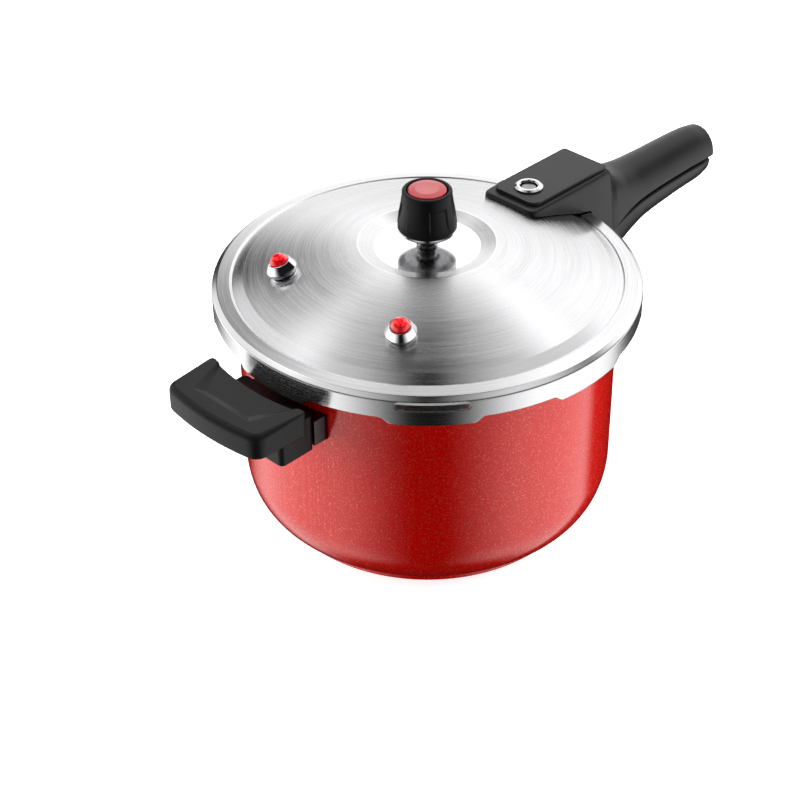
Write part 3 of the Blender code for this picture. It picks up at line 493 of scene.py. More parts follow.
def piece(name, bm, *materials):
    """An object in metres from a bmesh drawn in millimetres."""
    bmesh.ops.scale(bm, vec=(MM, MM, MM), verts=bm.verts)
    bmesh.ops.recalc_face_normals(bm, faces=bm.faces)
    mesh = bpy.data.meshes.new(name)
    bm.to_mesh(mesh)
    bm.free()
    obj = linked(name, mesh)
    dress(obj, *materials)
    smooth(obj)
    return obj


def smooth(obj, sharp_deg=32.0):
    obj.data.shade_smooth()
    obj.data.set_sharp_from_angle(angle=radians(sharp_deg))


def combine(target, tool, operation):
    """Applies a Boolean with another object and removes that object."""
    modifier = target.modifiers.new(operation.lower(), "BOOLEAN")
    modifier.operation = operation
    modifier.solver = "EXACT"
    modifier.object = tool
    bpy.context.view_layer.update()
    graph_now = bpy.context.evaluated_depsgraph_get()
    result = bpy.data.meshes.new_from_object(target.evaluated_get(graph_now))
    target.modifiers.remove(modifier)
    target.data = result
    bpy.data.objects.remove(tool, do_unlink=True)


def cut(target, *tools):
    for bm in tools:
        combine(target, piece("tool", bm), "DIFFERENCE")


def join(target, bm):
    combine(target, piece("tool", bm), "UNION")


def settle(obj, body, slot, *nodes, sharp_deg=32.0):
    """Gives a finished piece its body and hides the CAD nodes that it stands for; the slot is not used."""
    smooth(obj, sharp_deg)
    weights = obj.modifiers.new("weighted_normals", "WEIGHTED_NORMAL")
    weights.keep_sharp = True
    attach(obj, body)
    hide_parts(*nodes)
    return obj


def paint_faces(obj, choose):
    """Sets each face's material index from its centre in millimetres."""
    for polygon in obj.data.polygons:
        polygon.material_index = choose(polygon.center / MM, polygon.normal)


def quarter_turn(steps):
    """Equally spaced angles from 0 to a right angle."""
    return [pi / 2.0 * index / steps for index in range(steps + 1)]


def eased(share):
    share = min(max(share, 0.0), 1.0)
    return share * share * (3.0 - 2.0 * share)


def dome_z(radius):
    return DOME_TOP_Z - DOME_FALL * radius * radius


def lug_offset(x, y):
    """Signed angle in degrees from the nearest lug centre."""
    angle = math.degrees(math.atan2(y, x))
    return (angle + LUG_PITCH_DEG / 2.0) % LUG_PITCH_DEG - LUG_PITCH_DEG / 2.0


def arc_block(outline, half_deg, centre_deg):
    """A turned outline that runs over a limited arc, with slightly tapered ends."""
    middle_r, middle_z = (sum(values) / len(outline) for values in zip(*outline))
    rings = []
    # place along the arc, size of the section there
    spans = [(-1.0, 0.73), (-0.975, 0.91), (-0.93, 1.0)]
    spans += [(-0.8 + 0.2 * index, 1.0) for index in range(9)]
    spans += [(0.93, 1.0), (0.975, 0.91), (1.0, 0.73)]
    for share, keep in spans:
        angle = radians(centre_deg + share * half_deg)
        ring = []
        for radius, height in outline:
            r = middle_r + (radius - middle_r) * keep
            ring.append((r * cos(angle), r * sin(angle), middle_z + (height - middle_z) * keep))
        rings.append(ring)
    return skinned(rings)


def lug_ring(outline, half_deg):
    """Equal lugs round the axis, in one bmesh."""
    whole = bmesh.new()
    for index in range(LUGS):
        part = arc_block(outline, half_deg, LUG_PITCH_DEG * index)
        mesh = bpy.data.meshes.new("part")
        part.to_mesh(mesh)
        part.free()
        whole.from_mesh(mesh)
        bpy.data.meshes.remove(mesh)
    return whole


# ---- pot side

def corner_arc(centre_r, centre_z, wide, high, points):
    return [(centre_r + wide * sin(angle), centre_z - high * cos(angle)) for angle in quarter_turn(points)]


def pot():
    straight_z = POT_FLOOR_Z + CORNER_HIGH
    corner_r = POT_RADIUS - CORNER_WIDE
    collar_inner = COLLAR_RADIUS - POT_WALL
    outer = [(0.0, POT_FLOOR_Z)]
    outer += corner_arc(corner_r, straight_z, CORNER_WIDE, CORNER_HIGH, 20)
    outer += filleted([(POT_RADIUS, POT_COLUMN_Z), (POT_RADIUS, COLLAR_Z, 4.0),
                       (COLLAR_RADIUS, POT_LUG_Z[0], 2.0), (COLLAR_RADIUS, POT_TOP_Z, 0.7),
                       (collar_inner, POT_TOP_Z, 0.7), (collar_inner, POT_LUG_Z[0] + 1.0, 2.0),
                       (POT_RADIUS - POT_WALL, COLLAR_Z + 0.6, 3.0), (POT_RADIUS - POT_WALL, POT_COLUMN_Z)])
    inner = corner_arc(corner_r, straight_z, CORNER_WIDE - POT_WALL, CORNER_HIGH - POT_WALL, 16)
    inner = [(0.0, POT_FLOOR_Z + POT_WALL)] + inner
    obj = piece("pot_shell", spun(outer + inner[::-1], FINE_STEPS))
    low, high = POT_LUG_Z
    root, tip = COLLAR_RADIUS - 0.8, POT_LUG_RADIUS
    section = filleted([(root, low), (tip, low, 0.8), (tip, high, 0.8), (root, high)], 3)
    join(obj, lug_ring(section, POT_LUG_HALF_DEG))
    dress(obj, "enamel", "inside")

    def bare(centre, normal):
        facing_in = normal.x * centre.x + normal.y * centre.y < 0.0
        wall = facing_in and centre.z > POT_FLOOR_Z + 0.9
        floor_inside = centre.xy.length < corner_r and centre.z > POT_FLOOR_Z + 1.0
        return 1 if wall or floor_inside or centre.z > POT_LUG_Z[0] - 0.4 else 0

    paint_faces(obj, bare)
    settle(obj, "pot", "red_coated_steel", "pot_body")


def base():
    rim_z = POT_FLOOR_Z - 0.4
    inner = BASE_RADIUS - BASE_CAP_WALL
    cap = [(0.0, 0.0), (BASE_RADIUS, 0.0, 1.6), (BASE_RADIUS, rim_z, 0.5), (inner, rim_z, 0.4),
           (inner, BASE_CAP_WALL, 0.5), (0.0, BASE_CAP_WALL)]
    turned_piece("base_shell", cap, "enamel", "pot", "red_coated_steel", "base_cap", steps=FINE_STEPS)


def split_z(x):
    """Height of the handle's parting line at x, on smooth curves between the given points."""
    rows = eased_stations(SPLIT_LINE, 6)
    for (first_x, first_z), (last_x, last_z) in zip(rows, rows[1:]):
        if x <= last_x:
            return first_z + (last_z - first_z) * max(x - first_x, 0.0) / (last_x - first_x)
    return rows[-1][1]


def section_half(x, half_low, half_high, flat_z, crown_z, squareness):
    """Section of a handle half: flat at flat_z with broken edges, crowned at crown_z."""
    ring = []
    power = 2.0 / squareness
    lift = math.copysign(PARTING_CHAMFER, crown_z - flat_z)
    wall_z = flat_z + lift
    for index in range(SECTION_POINTS + 1):
        angle = pi * index / SECTION_POINTS
        cosine = cos(angle)
        side = math.copysign(abs(cosine) ** power, cosine)
        rise = max(sin(angle), 0.0) ** power
        half = half_low + (half_high - half_low) * rise
        ring.append(Vector((x, side * half, wall_z + (crown_z - wall_z) * rise)))
    # how far down and in the broken edge goes, in chamfers
    for share, inset in ((0.35, 0.15), (0.75, 0.6), (1.0, 1.3)):
        edge = half_low - inset * PARTING_CHAMFER
        ring.insert(0, Vector((x, edge, wall_z - lift * share)))
        ring.append(Vector((x, -edge, wall_z - lift * share)))
    return ring


def eased_stations(stations, per_span):
    """Extra stations between the given ones, on monotone cubic curves."""
    columns = len(stations[0])
    slopes = []
    for column in range(1, columns):
        steps = [(second[column] - first[column]) / (second[0] - first[0])
                 for first, second in zip(stations, stations[1:])]
        slope = [steps[0]]
        for before, after in zip(steps, steps[1:]):
            slope.append(0.0 if before * after <= 0.0 else 2.0 * before * after / (before + after))
        slope.append(steps[-1])
        slopes.append(slope)
    made = []
    for index, (first, second) in enumerate(zip(stations, stations[1:])):
        width = second[0] - first[0]
        for step in range(per_span):
            t = step / per_span
            row = [first[0] + width * t]
            for column in range(1, columns):
                m0 = slopes[column - 1][index] * width
                m1 = slopes[column - 1][index + 1] * width
                row.append((2 * t ** 3 - 3 * t ** 2 + 1) * first[column] + (t ** 3 - 2 * t ** 2 + t) * m0
                           + (3 * t ** 2 - 2 * t ** 3) * second[column] + (t ** 3 - t ** 2) * m1)
            made.append(tuple(row))
    made.append(tuple(stations[-1]))
    return made


def end_cap(station, reach):
    """Stations that round a handle's end over a short reach to a small flat face."""
    x, half_low, half_high, crown_z, squareness = station
    flat_z = split_z(x)
    made = []
    for angle in quarter_turn(12)[1:]:
        keep = 0.5 + 0.5 * cos(angle)
        made.append((x + reach * sin(angle), half_low * keep, half_high * keep,
                     flat_z + (crown_z - flat_z) * keep, squareness))
    return made


def handle_half(name, stations, reach, side):
    """Lofts one half of the long handle; side is +1 above the parting line and -1 below it."""
    rows = eased_stations(stations, 8)
    rows += end_cap(rows[-1], reach)
    rings = []
    for x, half_low, half_high, crown_z, squareness in rows:
        flat_z = split_z(x) + side * SPLIT_GAP / 2.0
        rings.append(section_half(x, half_low, half_high, flat_z, crown_z, squareness))
    return piece(name, skinned(rings))


# x, half width at the split, half width at the crown, crown height, squareness
LOWER_HANDLE_STATIONS = (
    (112.0, 20.0, 18.0, 97.0, 5.0), (130.0, 20.0, 18.0, 98.0, 5.0),
    (150.0, 19.6, 17.0, 100.2, 4.0), (166.0, 18.4, 15.8, 103.2, 3.0),
    (180.0, 17.0, 15.4, 107.4, 2.4), (194.0, 16.2, 15.4, 111.6, 2.1),
    (210.0, 15.5, 15.4, 114.2, 2.1), (232.0, 15.0, 15.0, 116.0, 2.0),
    (250.0, 14.4, 14.4, 117.0, 2.0), (257.0, 13.3, 13.3, 118.8, 2.0),
)


def screw_hole(obj, x, head, shank):
    """Cuts a screw's counterbore and hole, each over its own range of heights."""
    cut(obj, rod(COUNTERBORE_RADIUS, *head, x), rod(SCREW_HOLE_RADIUS, *shank, x))


def lower_handle():
    obj = handle_half("lower_grip", LOWER_HANDLE_STATIONS, 4.8, -1.0)
    pot_side = POT_RADIUS + 2.9
    cut(obj, spun([(0.0, 80.0), (pot_side, 80.0), (pot_side, 150.0), (0.0, 150.0)], 240))
    slot_half = STRIP_HALF_WIDTH + SLOT_CLEARANCE       # slot for the pot's bracket
    cut(obj, box((100.0, -slot_half, 115.7), (150.3, slot_half, 119.3)))
    screw_hole(obj, LOWER_SCREW_X, (80.0, 104.5), (100.0, 124.0))
    dress(obj, "handle")
    settle(obj, "pot", "black_handle", "lower_handle")


def arc_point(radius, y):
    return Vector((-math.sqrt(radius * radius - y * y), y))


def helper_outline():
    """Plan outline of the short handle as (point, top fillet radius) rows, from its far end's middle."""
    outer_half = 30.5
    inner_half = 34.6
    widest = 38.2
    corner = 8.5
    wide_fillet, thin_fillet = HELPER_TOP_FILLETS
    fall = wide_fillet - thin_fillet
    rows = [(arc_point(HELPER_OUTER_RADIUS, outer_half * index / 30.0), wide_fillet) for index in range(31)]
    edge = rows[-1][0]
    heading = math.atan2(outer_half, math.sqrt(HELPER_OUTER_RADIUS ** 2 - outer_half ** 2))
    for index in range(1, 13):
        angle = heading + (pi / 2.0 - heading) * index / 12.0
        rows.append((Vector((edge.x + corner * (cos(heading) - cos(angle)),
                             edge.y + corner * (sin(angle) - sin(heading)))), wide_fillet))
    last = rows[-1][0]
    turn = arc_point(HELPER_INNER_RADIUS, inner_half)
    knee = Vector((turn.x + 0.8, widest))
    stop = Vector((knee.x - 3.6, widest))
    for index in range(1, 13):
        rows.append((last.lerp(stop, index / 12.0), wide_fillet - fall * index / 12.0))
    for index in range(1, 9):
        t = index / 8.0
        rows.append((stop.lerp(knee, t).lerp(knee.lerp(turn, t), t), thin_fillet))
    for index in range(1, 41):
        rows.append((arc_point(HELPER_INNER_RADIUS, inner_half * (1.0 - index / 40.0)), thin_fillet))
    mirrored = [(Vector((point.x, -point.y)), radius) for point, radius in rows[-2:0:-1]]
    return rows + mirrored


def inset_line(line, distances):
    """Points of a closed line moved inwards along its normals."""
    inner = []
    count = len(line)
    for index, point in enumerate(line):
        along = (line[(index + 1) % count] - line[index - 1]).normalized()
        inner.append(point + Vector((along.y, -along.x)) * distances[index])
    return inner


def thumb_rest_drop(x, y):
    """Depth of the short handle's recess, which is open towards the pot and has sloped borders."""
    depth = 1.7
    edge_x, floor_x = -161.0, -156.4
    reach = -136.5 - x
    outer_half = 31.2 - 7.7 * reach / 24.0
    floor_half = 29.2 - 12.2 * reach / 19.5
    side = (outer_half - abs(y)) / max(outer_half - floor_half, 1.2)
    front = (x - edge_x) / (floor_x - edge_x)
    share = min(max(min(side, front), 0.0), 1.0)
    return depth * (0.65 * share + 0.35 * eased(share))


def helper_grip_mesh():
    """The grip as rings: underside, side wall, rounded edges, then a top that closes on a spine."""
    rows = helper_outline()
    line = [point for point, radius in rows]
    low, high = HELPER_Z
    rings = []
    for angle in quarter_turn(5):
        inset = 1.0 - sin(angle)
        ring = inset_line(line, [min(radius, HELPER_FOOT_FILLET) * inset for point, radius in rows])
        rings.append([(p.x, p.y, low + HELPER_FOOT_FILLET * (1.0 - cos(angle))) for p in ring])
    for angle in quarter_turn(8):
        ring = inset_line(line, [radius * (1.0 - cos(angle)) for point, radius in rows])
        made = []
        for point, (start, radius) in zip(ring, rows):
            top = high - thumb_rest_drop(start.x, start.y)
            made.append((point.x, point.y, top - radius + radius * sin(angle)))
        rings.append(made)
    shoulder = inset_line(line, [radius for point, radius in rows])
    spine_radius = (HELPER_INNER_RADIUS + HELPER_OUTER_RADIUS) / 2.0
    spine = [arc_point(spine_radius, min(max(point.y, -18.0), 18.0) * 0.999) for point in shoulder]
    for index in range(1, 40):
        ring = [a.lerp(b, index / 40.0) for a, b in zip(shoulder, spine)]
        rings.append([(p.x, p.y, high - thumb_rest_drop(p.x, p.y)) for p in ring])
    return rings


def helper_handle():
    obj = piece("helper_grip", skinned(helper_grip_mesh()))
    # neck under the grip, cut away under the grip's inner edge
    neck = box((-144.2, -28.0, 106.2), (-119.2, 28.0, 132.0))
    rounded_edges(neck, lambda e: abs(e.verts[0].co.z - e.verts[1].co.z) > 1.0, 3.4, 6)
    rounded_edges(neck, lambda e: max(v.co.z for v in e.verts) < 106.3, 0.8, 3)
    neck_obj = piece("neck", neck)
    cut(neck_obj, skinned([[(-117.2, y, 129.5), (-117.2, y, 140.0), (-137.2, y, 140.0), (-137.2, y, 133.0),
                            (-127.0, y, 129.5)] for y in (-40.0, 40.0)]))
    combine(obj, neck_obj, "UNION")
    # pad towards the pot, slot for the bracket
    join(obj, box((-120.2, -25.7, 109.3), (-115.0, 25.7, 122.0)))
    cut(obj, box((-138.3, -9.3, 113.7), (-110.0, 9.3, 117.3)))
    screw_hole(obj, HELPER_SCREW_X, (90.0, 110.8), (105.0, 121.0))
    # the grip takes the darker copy of the handle plastic: painted shade
    dress(obj, "grip")
    settle(obj, "pot", "black_handle", "helper_handle", sharp_deg=38.0)


# ---- lid side

def lid_outline():
    top = [(4.6, DISH_Z), (DISH_RADIUS, DISH_Z, 2.0), (35.5, 175.0, 3.0), (40.2, dome_z(40.2) - 0.15, 3.0)]
    radii = [42.0 + (DOME_EDGE_RADIUS - 42.0) * index / 16.0 for index in range(1, 17)]
    dome = [(radius, dome_z(radius)) for radius in radii]
    shoulder = [(SHOULDER_RADIUS, dome_z(SHOULDER_RADIUS), 5.0), (113.9, 154.5, 0.7), (115.2, 155.15, 0.5)]
    rim = [(122.7, 153.9, 2.0), (LID_RADIUS, 151.8, 1.4), (LID_RADIUS, SKIRT_BOTTOM_Z, 0.5)]
    inside = LID_RADIUS - LID_WALL
    inner_rim = [(inside, SKIRT_BOTTOM_Z, 0.5), (inside, 151.0, 1.6), (122.3, 152.7, 1.0)]
    under = [(point[0], point[1] - LID_WALL, 1.0) for point in (top + dome)[::-1]]
    bowed = [point for point in dome if point[0] < SHOULDER_RADIUS - 1.9]
    return filleted(top + bowed + shoulder + rim + inner_rim + under, 6)


def skirt_drop(x, y):
    """How far the skirt's lower edge drops into a tab at this place."""
    off = abs(lug_offset(x, y))
    return (SKIRT_BOTTOM_Z - LID_LUG_Z[0]) * eased((LID_LUG_HALF_DEG + 0.6 - off) / 2.9)


def window_slot():
    """A bar with round sides that cuts the window in the lid's skirt."""
    low, high = WINDOW_Z
    half = (high - low) / 2.0
    middle_z = (high + low) / 2.0
    opening = []
    for x in (118.0, 132.0):
        ring = []
        for index in range(48):
            angle = math.tau * index / 48
            flat = math.copysign(WINDOW_HALF_LENGTH - half, cos(angle))
            ring.append((x, flat + half * cos(angle), middle_z + half * sin(angle)))
        opening.append(ring)
    bar = skinned(opening)
    turn = Matrix.Rotation(radians(WINDOW_DEG), 3, "Z")
    bmesh.ops.rotate(bar, verts=bar.verts, cent=(0, 0, 0), matrix=turn)
    return bar


def lid():
    bm = spun(lid_outline(), FINE_STEPS)
    for vertex in bm.verts:
        if vertex.co.z < SKIRT_BEND_Z and vertex.co.xy.length > SKIRT_MIN_RADIUS:
            share = (SKIRT_BEND_Z - vertex.co.z) / (SKIRT_BEND_Z - SKIRT_BOTTOM_Z)
            vertex.co.z -= skirt_drop(vertex.co.x, vertex.co.y) * share
    obj = piece("lid_dome", bm)
    low, high = LID_LUG_Z
    tip, root = LID_LUG_INNER_RADIUS, LID_RADIUS - 0.5
    section = filleted([(tip, low, 0.5), (root, low, 0.3), (root, high + 0.4, 0.3), (tip, high, 0.5)], 3)
    join(obj, lug_ring(section, LID_LUG_HALF_DEG - 1.9))
    cut(obj, window_slot())
    cut(obj, rod(FLOAT_HOLE_RADIUS, 140.0, 180.0, FLOAT_X))
    for degrees in VALVE_DEG:
        cut(obj, moved(rod(VALVE_HOLE_RADIUS, -10.0, 10.0), valve_matrix(degrees)))
    dress(obj, "dome", "disc", "skirt", "rim")

    def finish(centre, normal):
        """Rim or skirt outside the dome, else the disc in the dish or the dome."""
        radius = centre.xy.length
        if radius > DOME_EDGE_RADIUS + 0.4:
            return 3 if centre.z > FLANGE_Z - 2.6 else 2
        return 1 if radius < DISH_RADIUS and normal.z > 0.0 else 0

    paint_faces(obj, finish)
    settle(obj, "lid", "brushed_lid_steel", "lid_shell")


def valve_matrix(degrees):
    """Frame of a safety valve in millimetres: on the dome, local Z square to it."""
    angle = radians(degrees)
    tilt = math.atan(2.0 * DOME_FALL * VALVE_RADIUS)
    place = Vector((VALVE_RADIUS * cos(angle), VALVE_RADIUS * sin(angle), dome_z(VALVE_RADIUS)))
    return Matrix.Translation(place) @ Matrix.Rotation(angle, 4, "Z") @ Matrix.Rotation(tilt, 4, "Y")


# x, half width at the bottom, half width at the top, top height, squareness
UPPER_HANDLE_STATIONS = (
    (69.6, 15.6, 15.6, 173.0, 24.0), (69.9, 17.6, 17.4, 173.4, 24.0),
    (70.6, 19.2, 18.8, 173.6, 24.0), (72.0, 20.6, 19.8, 173.6, 24.0),
    (74.2, 21.4, 20.4, 173.6, 24.0), (78.0, 21.7, 20.6, 173.6, 24.0),
    (100.0, 22.6, 20.6, 173.6, 24.0), (127.0, 24.0, 20.4, 173.6, 22.0),
    (142.5, 23.4, 19.4, 173.6, 16.0), (148.0, 22.4, 18.0, 169.6, 7.0),
    (154.0, 21.2, 17.0, 164.6, 4.4), (161.0, 20.0, 17.0, 161.0, 3.2),
    (170.0, 18.4, 17.0, 158.7, 2.5), (184.0, 16.9, 16.4, 157.3, 2.1),
    (206.0, 15.9, 15.9, 156.4, 2.0), (232.0, 15.2, 15.2, 155.9, 2.0),
    (248.0, 14.8, 14.8, 155.2, 2.0), (258.5, 14.2, 14.2, 153.6, 2.0),
)


def lid_clearance():
    """The lid's outside, slightly grown, for the handle to sit on."""
    side = LID_RADIUS + 0.5
    grown = [(0.0, 100.0), (side, 100.0), (side, 150.6), (125.6, 153.0), (122.9, 154.5),
             (DOME_EDGE_RADIUS + 0.4, 156.1)]
    for index in range(12):
        radius = DOME_EDGE_RADIUS - 4.0 - index * 4.4
        grown.append((radius, dome_z(radius) + 0.45))
    return spun(grown + [(0.0, DOME_TOP_Z)], 360)


def strip_slot(half, grow, drop):
    """Room for the lid's steel strip inside the handle."""
    side = [(98.0 - grow, 162.4 - drop), (114.6, 156.2 - drop), (152.0 + grow, 156.2 - grow),
            (152.0 + grow, 158.8 + grow), (114.6, 158.8 + grow), (98.0 - grow, 165.0 + grow)]
    return skinned([[(x, y, z) for x, z in side] for y in (-half, half)])


def upper_handle():
    obj = handle_half("upper_grip", UPPER_HANDLE_STATIONS, 6.45, 1.0)
    cut(obj, lid_clearance())
    # pocket for the lock, slot for the lid's strip
    cut(obj, box((POCKET_X[0], -POCKET_HALF_WIDTH, POCKET_Z), (POCKET_X[1], POCKET_HALF_WIDTH, 185.0)))
    cut(obj, strip_slot(STRIP_HALF_WIDTH + SLOT_CLEARANCE, SLOT_CLEARANCE, 8.0))
    screw_hole(obj, LID_SCREW_X, (120.0, 138.6), (130.0, 161.5))
    cut(obj, rod(FLOAT_HOLE_RADIUS, 150.0, 172.0, FLOAT_X))
    dress(obj, "handle")
    settle(obj, "lid", "black_handle", "lid_handle")


def cover_plate():
    low_x, high_x = PLATE_X
    half = PLATE_HALF_WIDTH
    low_z, high_z = PLATE_Z
    plan = filleted([(low_x, -half, 5.0), (high_x, -half, 0.8), (high_x, half, 0.8), (low_x, half, 5.0)], 8)
    plate = skinned([[(x, y, z) for x, y in plan] for z in (low_z, high_z)])
    rounded_edges(plate, lambda e: min(v.co.z for v in e.verts) > high_z - 0.01, 1.1, 5)
    obj = piece("cover_plate", plate)
    cut(obj, rod(EYELET_HOLE_RADIUS, 170.0, 180.0, FLOAT_X))
    dress(obj, "handle")
    settle(obj, "lid", "black_handle", "handle_cover_plate")


# ---- turned pieces

def turned_piece(name, corners, finish, body, slot, cad_node, matrix=None, steps=SMALL_STEPS):
    bm = spun(filleted(corners), steps)
    if matrix is not None:
        moved(bm, matrix)
    settle(piece(name, bm, finish), body, slot, cad_node)


def float_parts():
    at = Matrix.Translation((FLOAT_X, 0.0, 0.0))
    top = PLATE_Z[1] + 0.3
    eyelet = [(5.2, PLATE_Z[0]), (6.2, PLATE_Z[0]), (6.2, top), (8.75, top, 0.2), (8.75, top + 0.7, 0.3),
              (7.4, top + 1.6, 0.4), (5.9, top + 1.6, 0.5), (5.2, top + 0.8, 0.3)]
    turned_piece("eyelet_ring", eyelet, "eyelet", "lid", "polished_steel", "float_eyelet", at)
    low = FLOAT_BASE_Z
    tip = FLOAT_TIP_Z
    pin = [(0.0, low), (5.0, low, 0.8), (5.0, low + 2.0, 0.4), (2.8, low + 2.0), (2.8, tip - 2.0),
           (4.5, tip - 2.0, 0.15), (4.5, tip, 0.3), (0.0, tip)]
    # the float pin takes the dark steel: painted shade inside the eyelet
    turned_piece("float_stem", pin, "bowl", "float_valve", "polished_steel", "float_pin", at)


def seal():
    ring = [(112.5, 148.6, 0.5), (124.1, 148.6, 0.6), (124.1, 150.7, 0.7), (121.9, 151.8, 0.8),
            (113.6, 153.6, 0.4), (113.6, 152.4, 0.4), (121.0, 150.8, 0.3), (121.4, 150.1, 0.3),
            (112.5, 150.1, 0.5)]
    turned_piece("seal_ring", ring, "silicone", "seal", "silicone", "sealing_ring", steps=300)


def vent():
    bore = 1.3
    top = WEIGHT_BASE_Z + 9.0
    foot = DISH_Z + 0.3
    seat = WEIGHT_BASE_Z
    pipe = [(bore, 162.8), (4.3, 162.8), (4.3, foot), (6.2, foot), (6.2, foot + 0.6, 0.3),
            (5.3, foot + 1.0, 0.4), (5.2, seat - 2.6, 0.2), (5.8, seat - 2.2, 0.3), (5.8, seat - 1.2, 0.3),
            (5.2, seat - 0.8, 0.2), (3.7, seat, 0.4), (3.7, top - 2.2, 0.3), (1.9, top, 0.2), (bore, top)]
    # painted shade: the vent stem under the weight takes a darkened polished steel
    turned_piece("vent_stem", pipe, "painted_shade_chrome", "lid", "polished_steel", "vent_pipe")


KNOB_FACET_DEG = -110.7         # middle of one of the knob's four finger facets
KNOB_FACET_HALF_DEG = 21.0
KNOB_FACET_DEPTH = 0.95
KNOB_FACET_Z = (5.0, 21.8)      # starts slowly at the foot, ends sharply at the top
KNOB_WALL_RADIUS = 12.0         # inside of the knob's wall


def knob_facet(degrees):
    """How deep the knob is scooped at this angle, 0 to 1, with crisp sides."""
    off = abs((degrees - KNOB_FACET_DEG + 45.0) % 90.0 - 45.0)
    return eased((KNOB_FACET_HALF_DEG - off) / 2.2)


def knob_mesh():
    """The knob's wall and top, with the four facets scooped out of the wall."""
    wall = KNOB_WALL_RADIUS
    shell = [(wall, 4.1), (16.8, 4.1, 0.3), (17.2, 5.0, 1.0), (17.1, 8.6, 6.0), (16.4, 14.0, 14.0),
             (15.2, 20.6, 12.0), (14.55, 25.0, 10.0), (14.4, 28.6, 1.3), (12.1, 28.6, 0.8),
             (wall, 27.4, 0.2), (wall, 25.0), (0.0, 25.0), (0.0, 22.0), (wall, 22.0)]
    foot_z, top_z = KNOB_FACET_Z
    bm = spun(fine_heights(filleted(shell, 8), 0.5), 240)
    for vertex in bm.verts:
        radius = vertex.co.xy.length
        if radius > 14.0:
            degrees = math.degrees(math.atan2(vertex.co.y, vertex.co.x))
            above = eased((vertex.co.z - foot_z) / 11.0)
            share = knob_facet(degrees) * eased((top_z - vertex.co.z) / 0.9) * above
            vertex.co.xy *= (radius - KNOB_FACET_DEPTH * share) / radius
    return bm


def weight():
    at = Matrix.Translation((0.0, 0.0, WEIGHT_BASE_Z))
    ring = [(6.2, 0.4), (7.6, 0.0, 0.5), (13.4, 0.1, 1.2), (16.5, 2.5, 0.3), (17.1, 2.7, 0.2),
            (17.2, 3.5, 0.3), (16.7, 4.0, 0.2), (6.2, 4.0)]
    bowl = piece("weight_bowl", moved(spun(filleted(ring), SMALL_STEPS), at), "chrome", "bowl")
    # painted shade: the weight ring's lower part, under the knob, takes the dark steel
    paint_faces(bowl, lambda centre, normal: 1 if centre.z < WEIGHT_BASE_Z + 2.5 else 0)
    settle(bowl, "weight", "polished_steel", "weight_ring")
    settle(piece("weight_knob", moved(knob_mesh(), at), "knob"), "weight", "black_knob", "weight_shell")
    badge = [(0.0, 25.4), (11.3, 25.4), (11.3, 27.9, 0.5), (10.9, 28.7, 0.9), (7.0, 29.35, 6.0), (0.0, 29.65)]
    turned_piece("weight_insert", badge, "red", "weight", "red_insert", "weight_badge", at)


def fine_heights(outline, step):
    """Splits the sides on the outside of an outline so that they can be shaped."""
    made = []
    for first, second in zip(outline, outline[1:] + outline[:1]):
        outside = min(first[0], second[0]) > KNOB_WALL_RADIUS + 1.0
        pieces = max(1, int(math.dist(first, second) / step)) if outside else 1
        for index in range(pieces):
            share = index / pieces
            made.append(tuple(a + (b - a) * share for a, b in zip(first, second)))
    return made


def safety_valve(number, degrees):
    at = valve_matrix(degrees)
    end = "_%d" % number
    body = [(2.1, -7.8), (5.0, -7.8), (5.0, 0.35), (7.4, 0.35), (7.4, 1.6, 0.3), (8.9, 2.6, 0.5),
            (8.9, 3.9, 0.6), (6.4, 8.4, 0.5), (5.7, 8.4, 0.2), (5.7, 7.2), (2.7, 7.2), (2.7, 6.0),
            (4.2, 6.0), (4.2, -5.4), (2.1, -5.4)]
    turned_piece("valve_body" + end, body, "chrome", "lid", "polished_steel", "safety_valve_body" + end, at)
    cap = [(1.9, 7.6), (5.3, 7.6), (5.3, 8.9, 0.8), (3.9, 11.2, 2.0), (2.0, 12.3, 2.0), (0.0, 12.3),
           (0.0, 8.6), (1.9, 8.6)]
    turned_piece("valve_cap" + end, cap, "cap_red", "safety_plunger_%d" % number, "red_insert",
                 "safety_valve_cap" + end, at)


def coil_spring(cad_node, body, axis):
    """A spring that moves with its part."""
    source = frame["nodes"][cad_node]
    obj = linked(cad_node + "_coil", source.data.copy())
    bpy.context.view_layer.update()
    obj.matrix_world = source.matrix_world.copy()
    dress(obj, "steel")
    smooth(obj, 60.0)
    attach(obj, body)
    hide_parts(cad_node)
    axis = Vector(axis).normalized()
    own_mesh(obj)


def carried_over():
    """CAD nodes that keep their shape take their finish from their slot; the short handle's bracket takes a
    near-black steel instead, as painted shade.
    """
    finishes = {"plain_steel": "steel", "spreader_aluminium": "aluminium", "silicone": "silicone",
                "polished_steel": "chrome", "black_handle": "handle"}
    slots = {row["node"]: row.get("material_slot") for row in frame["record"]["subparts"]}
    for name, obj in frame["nodes"].items():
        if obj.hide_render:
            continue
        slot = slots.get(name)
        # the short handle's bracket gets the dark steel: painted shade
        dress(obj, "painted_shade_steel" if name == "helper_bracket" else finishes[slot])
        smooth(obj)


# ---- stage

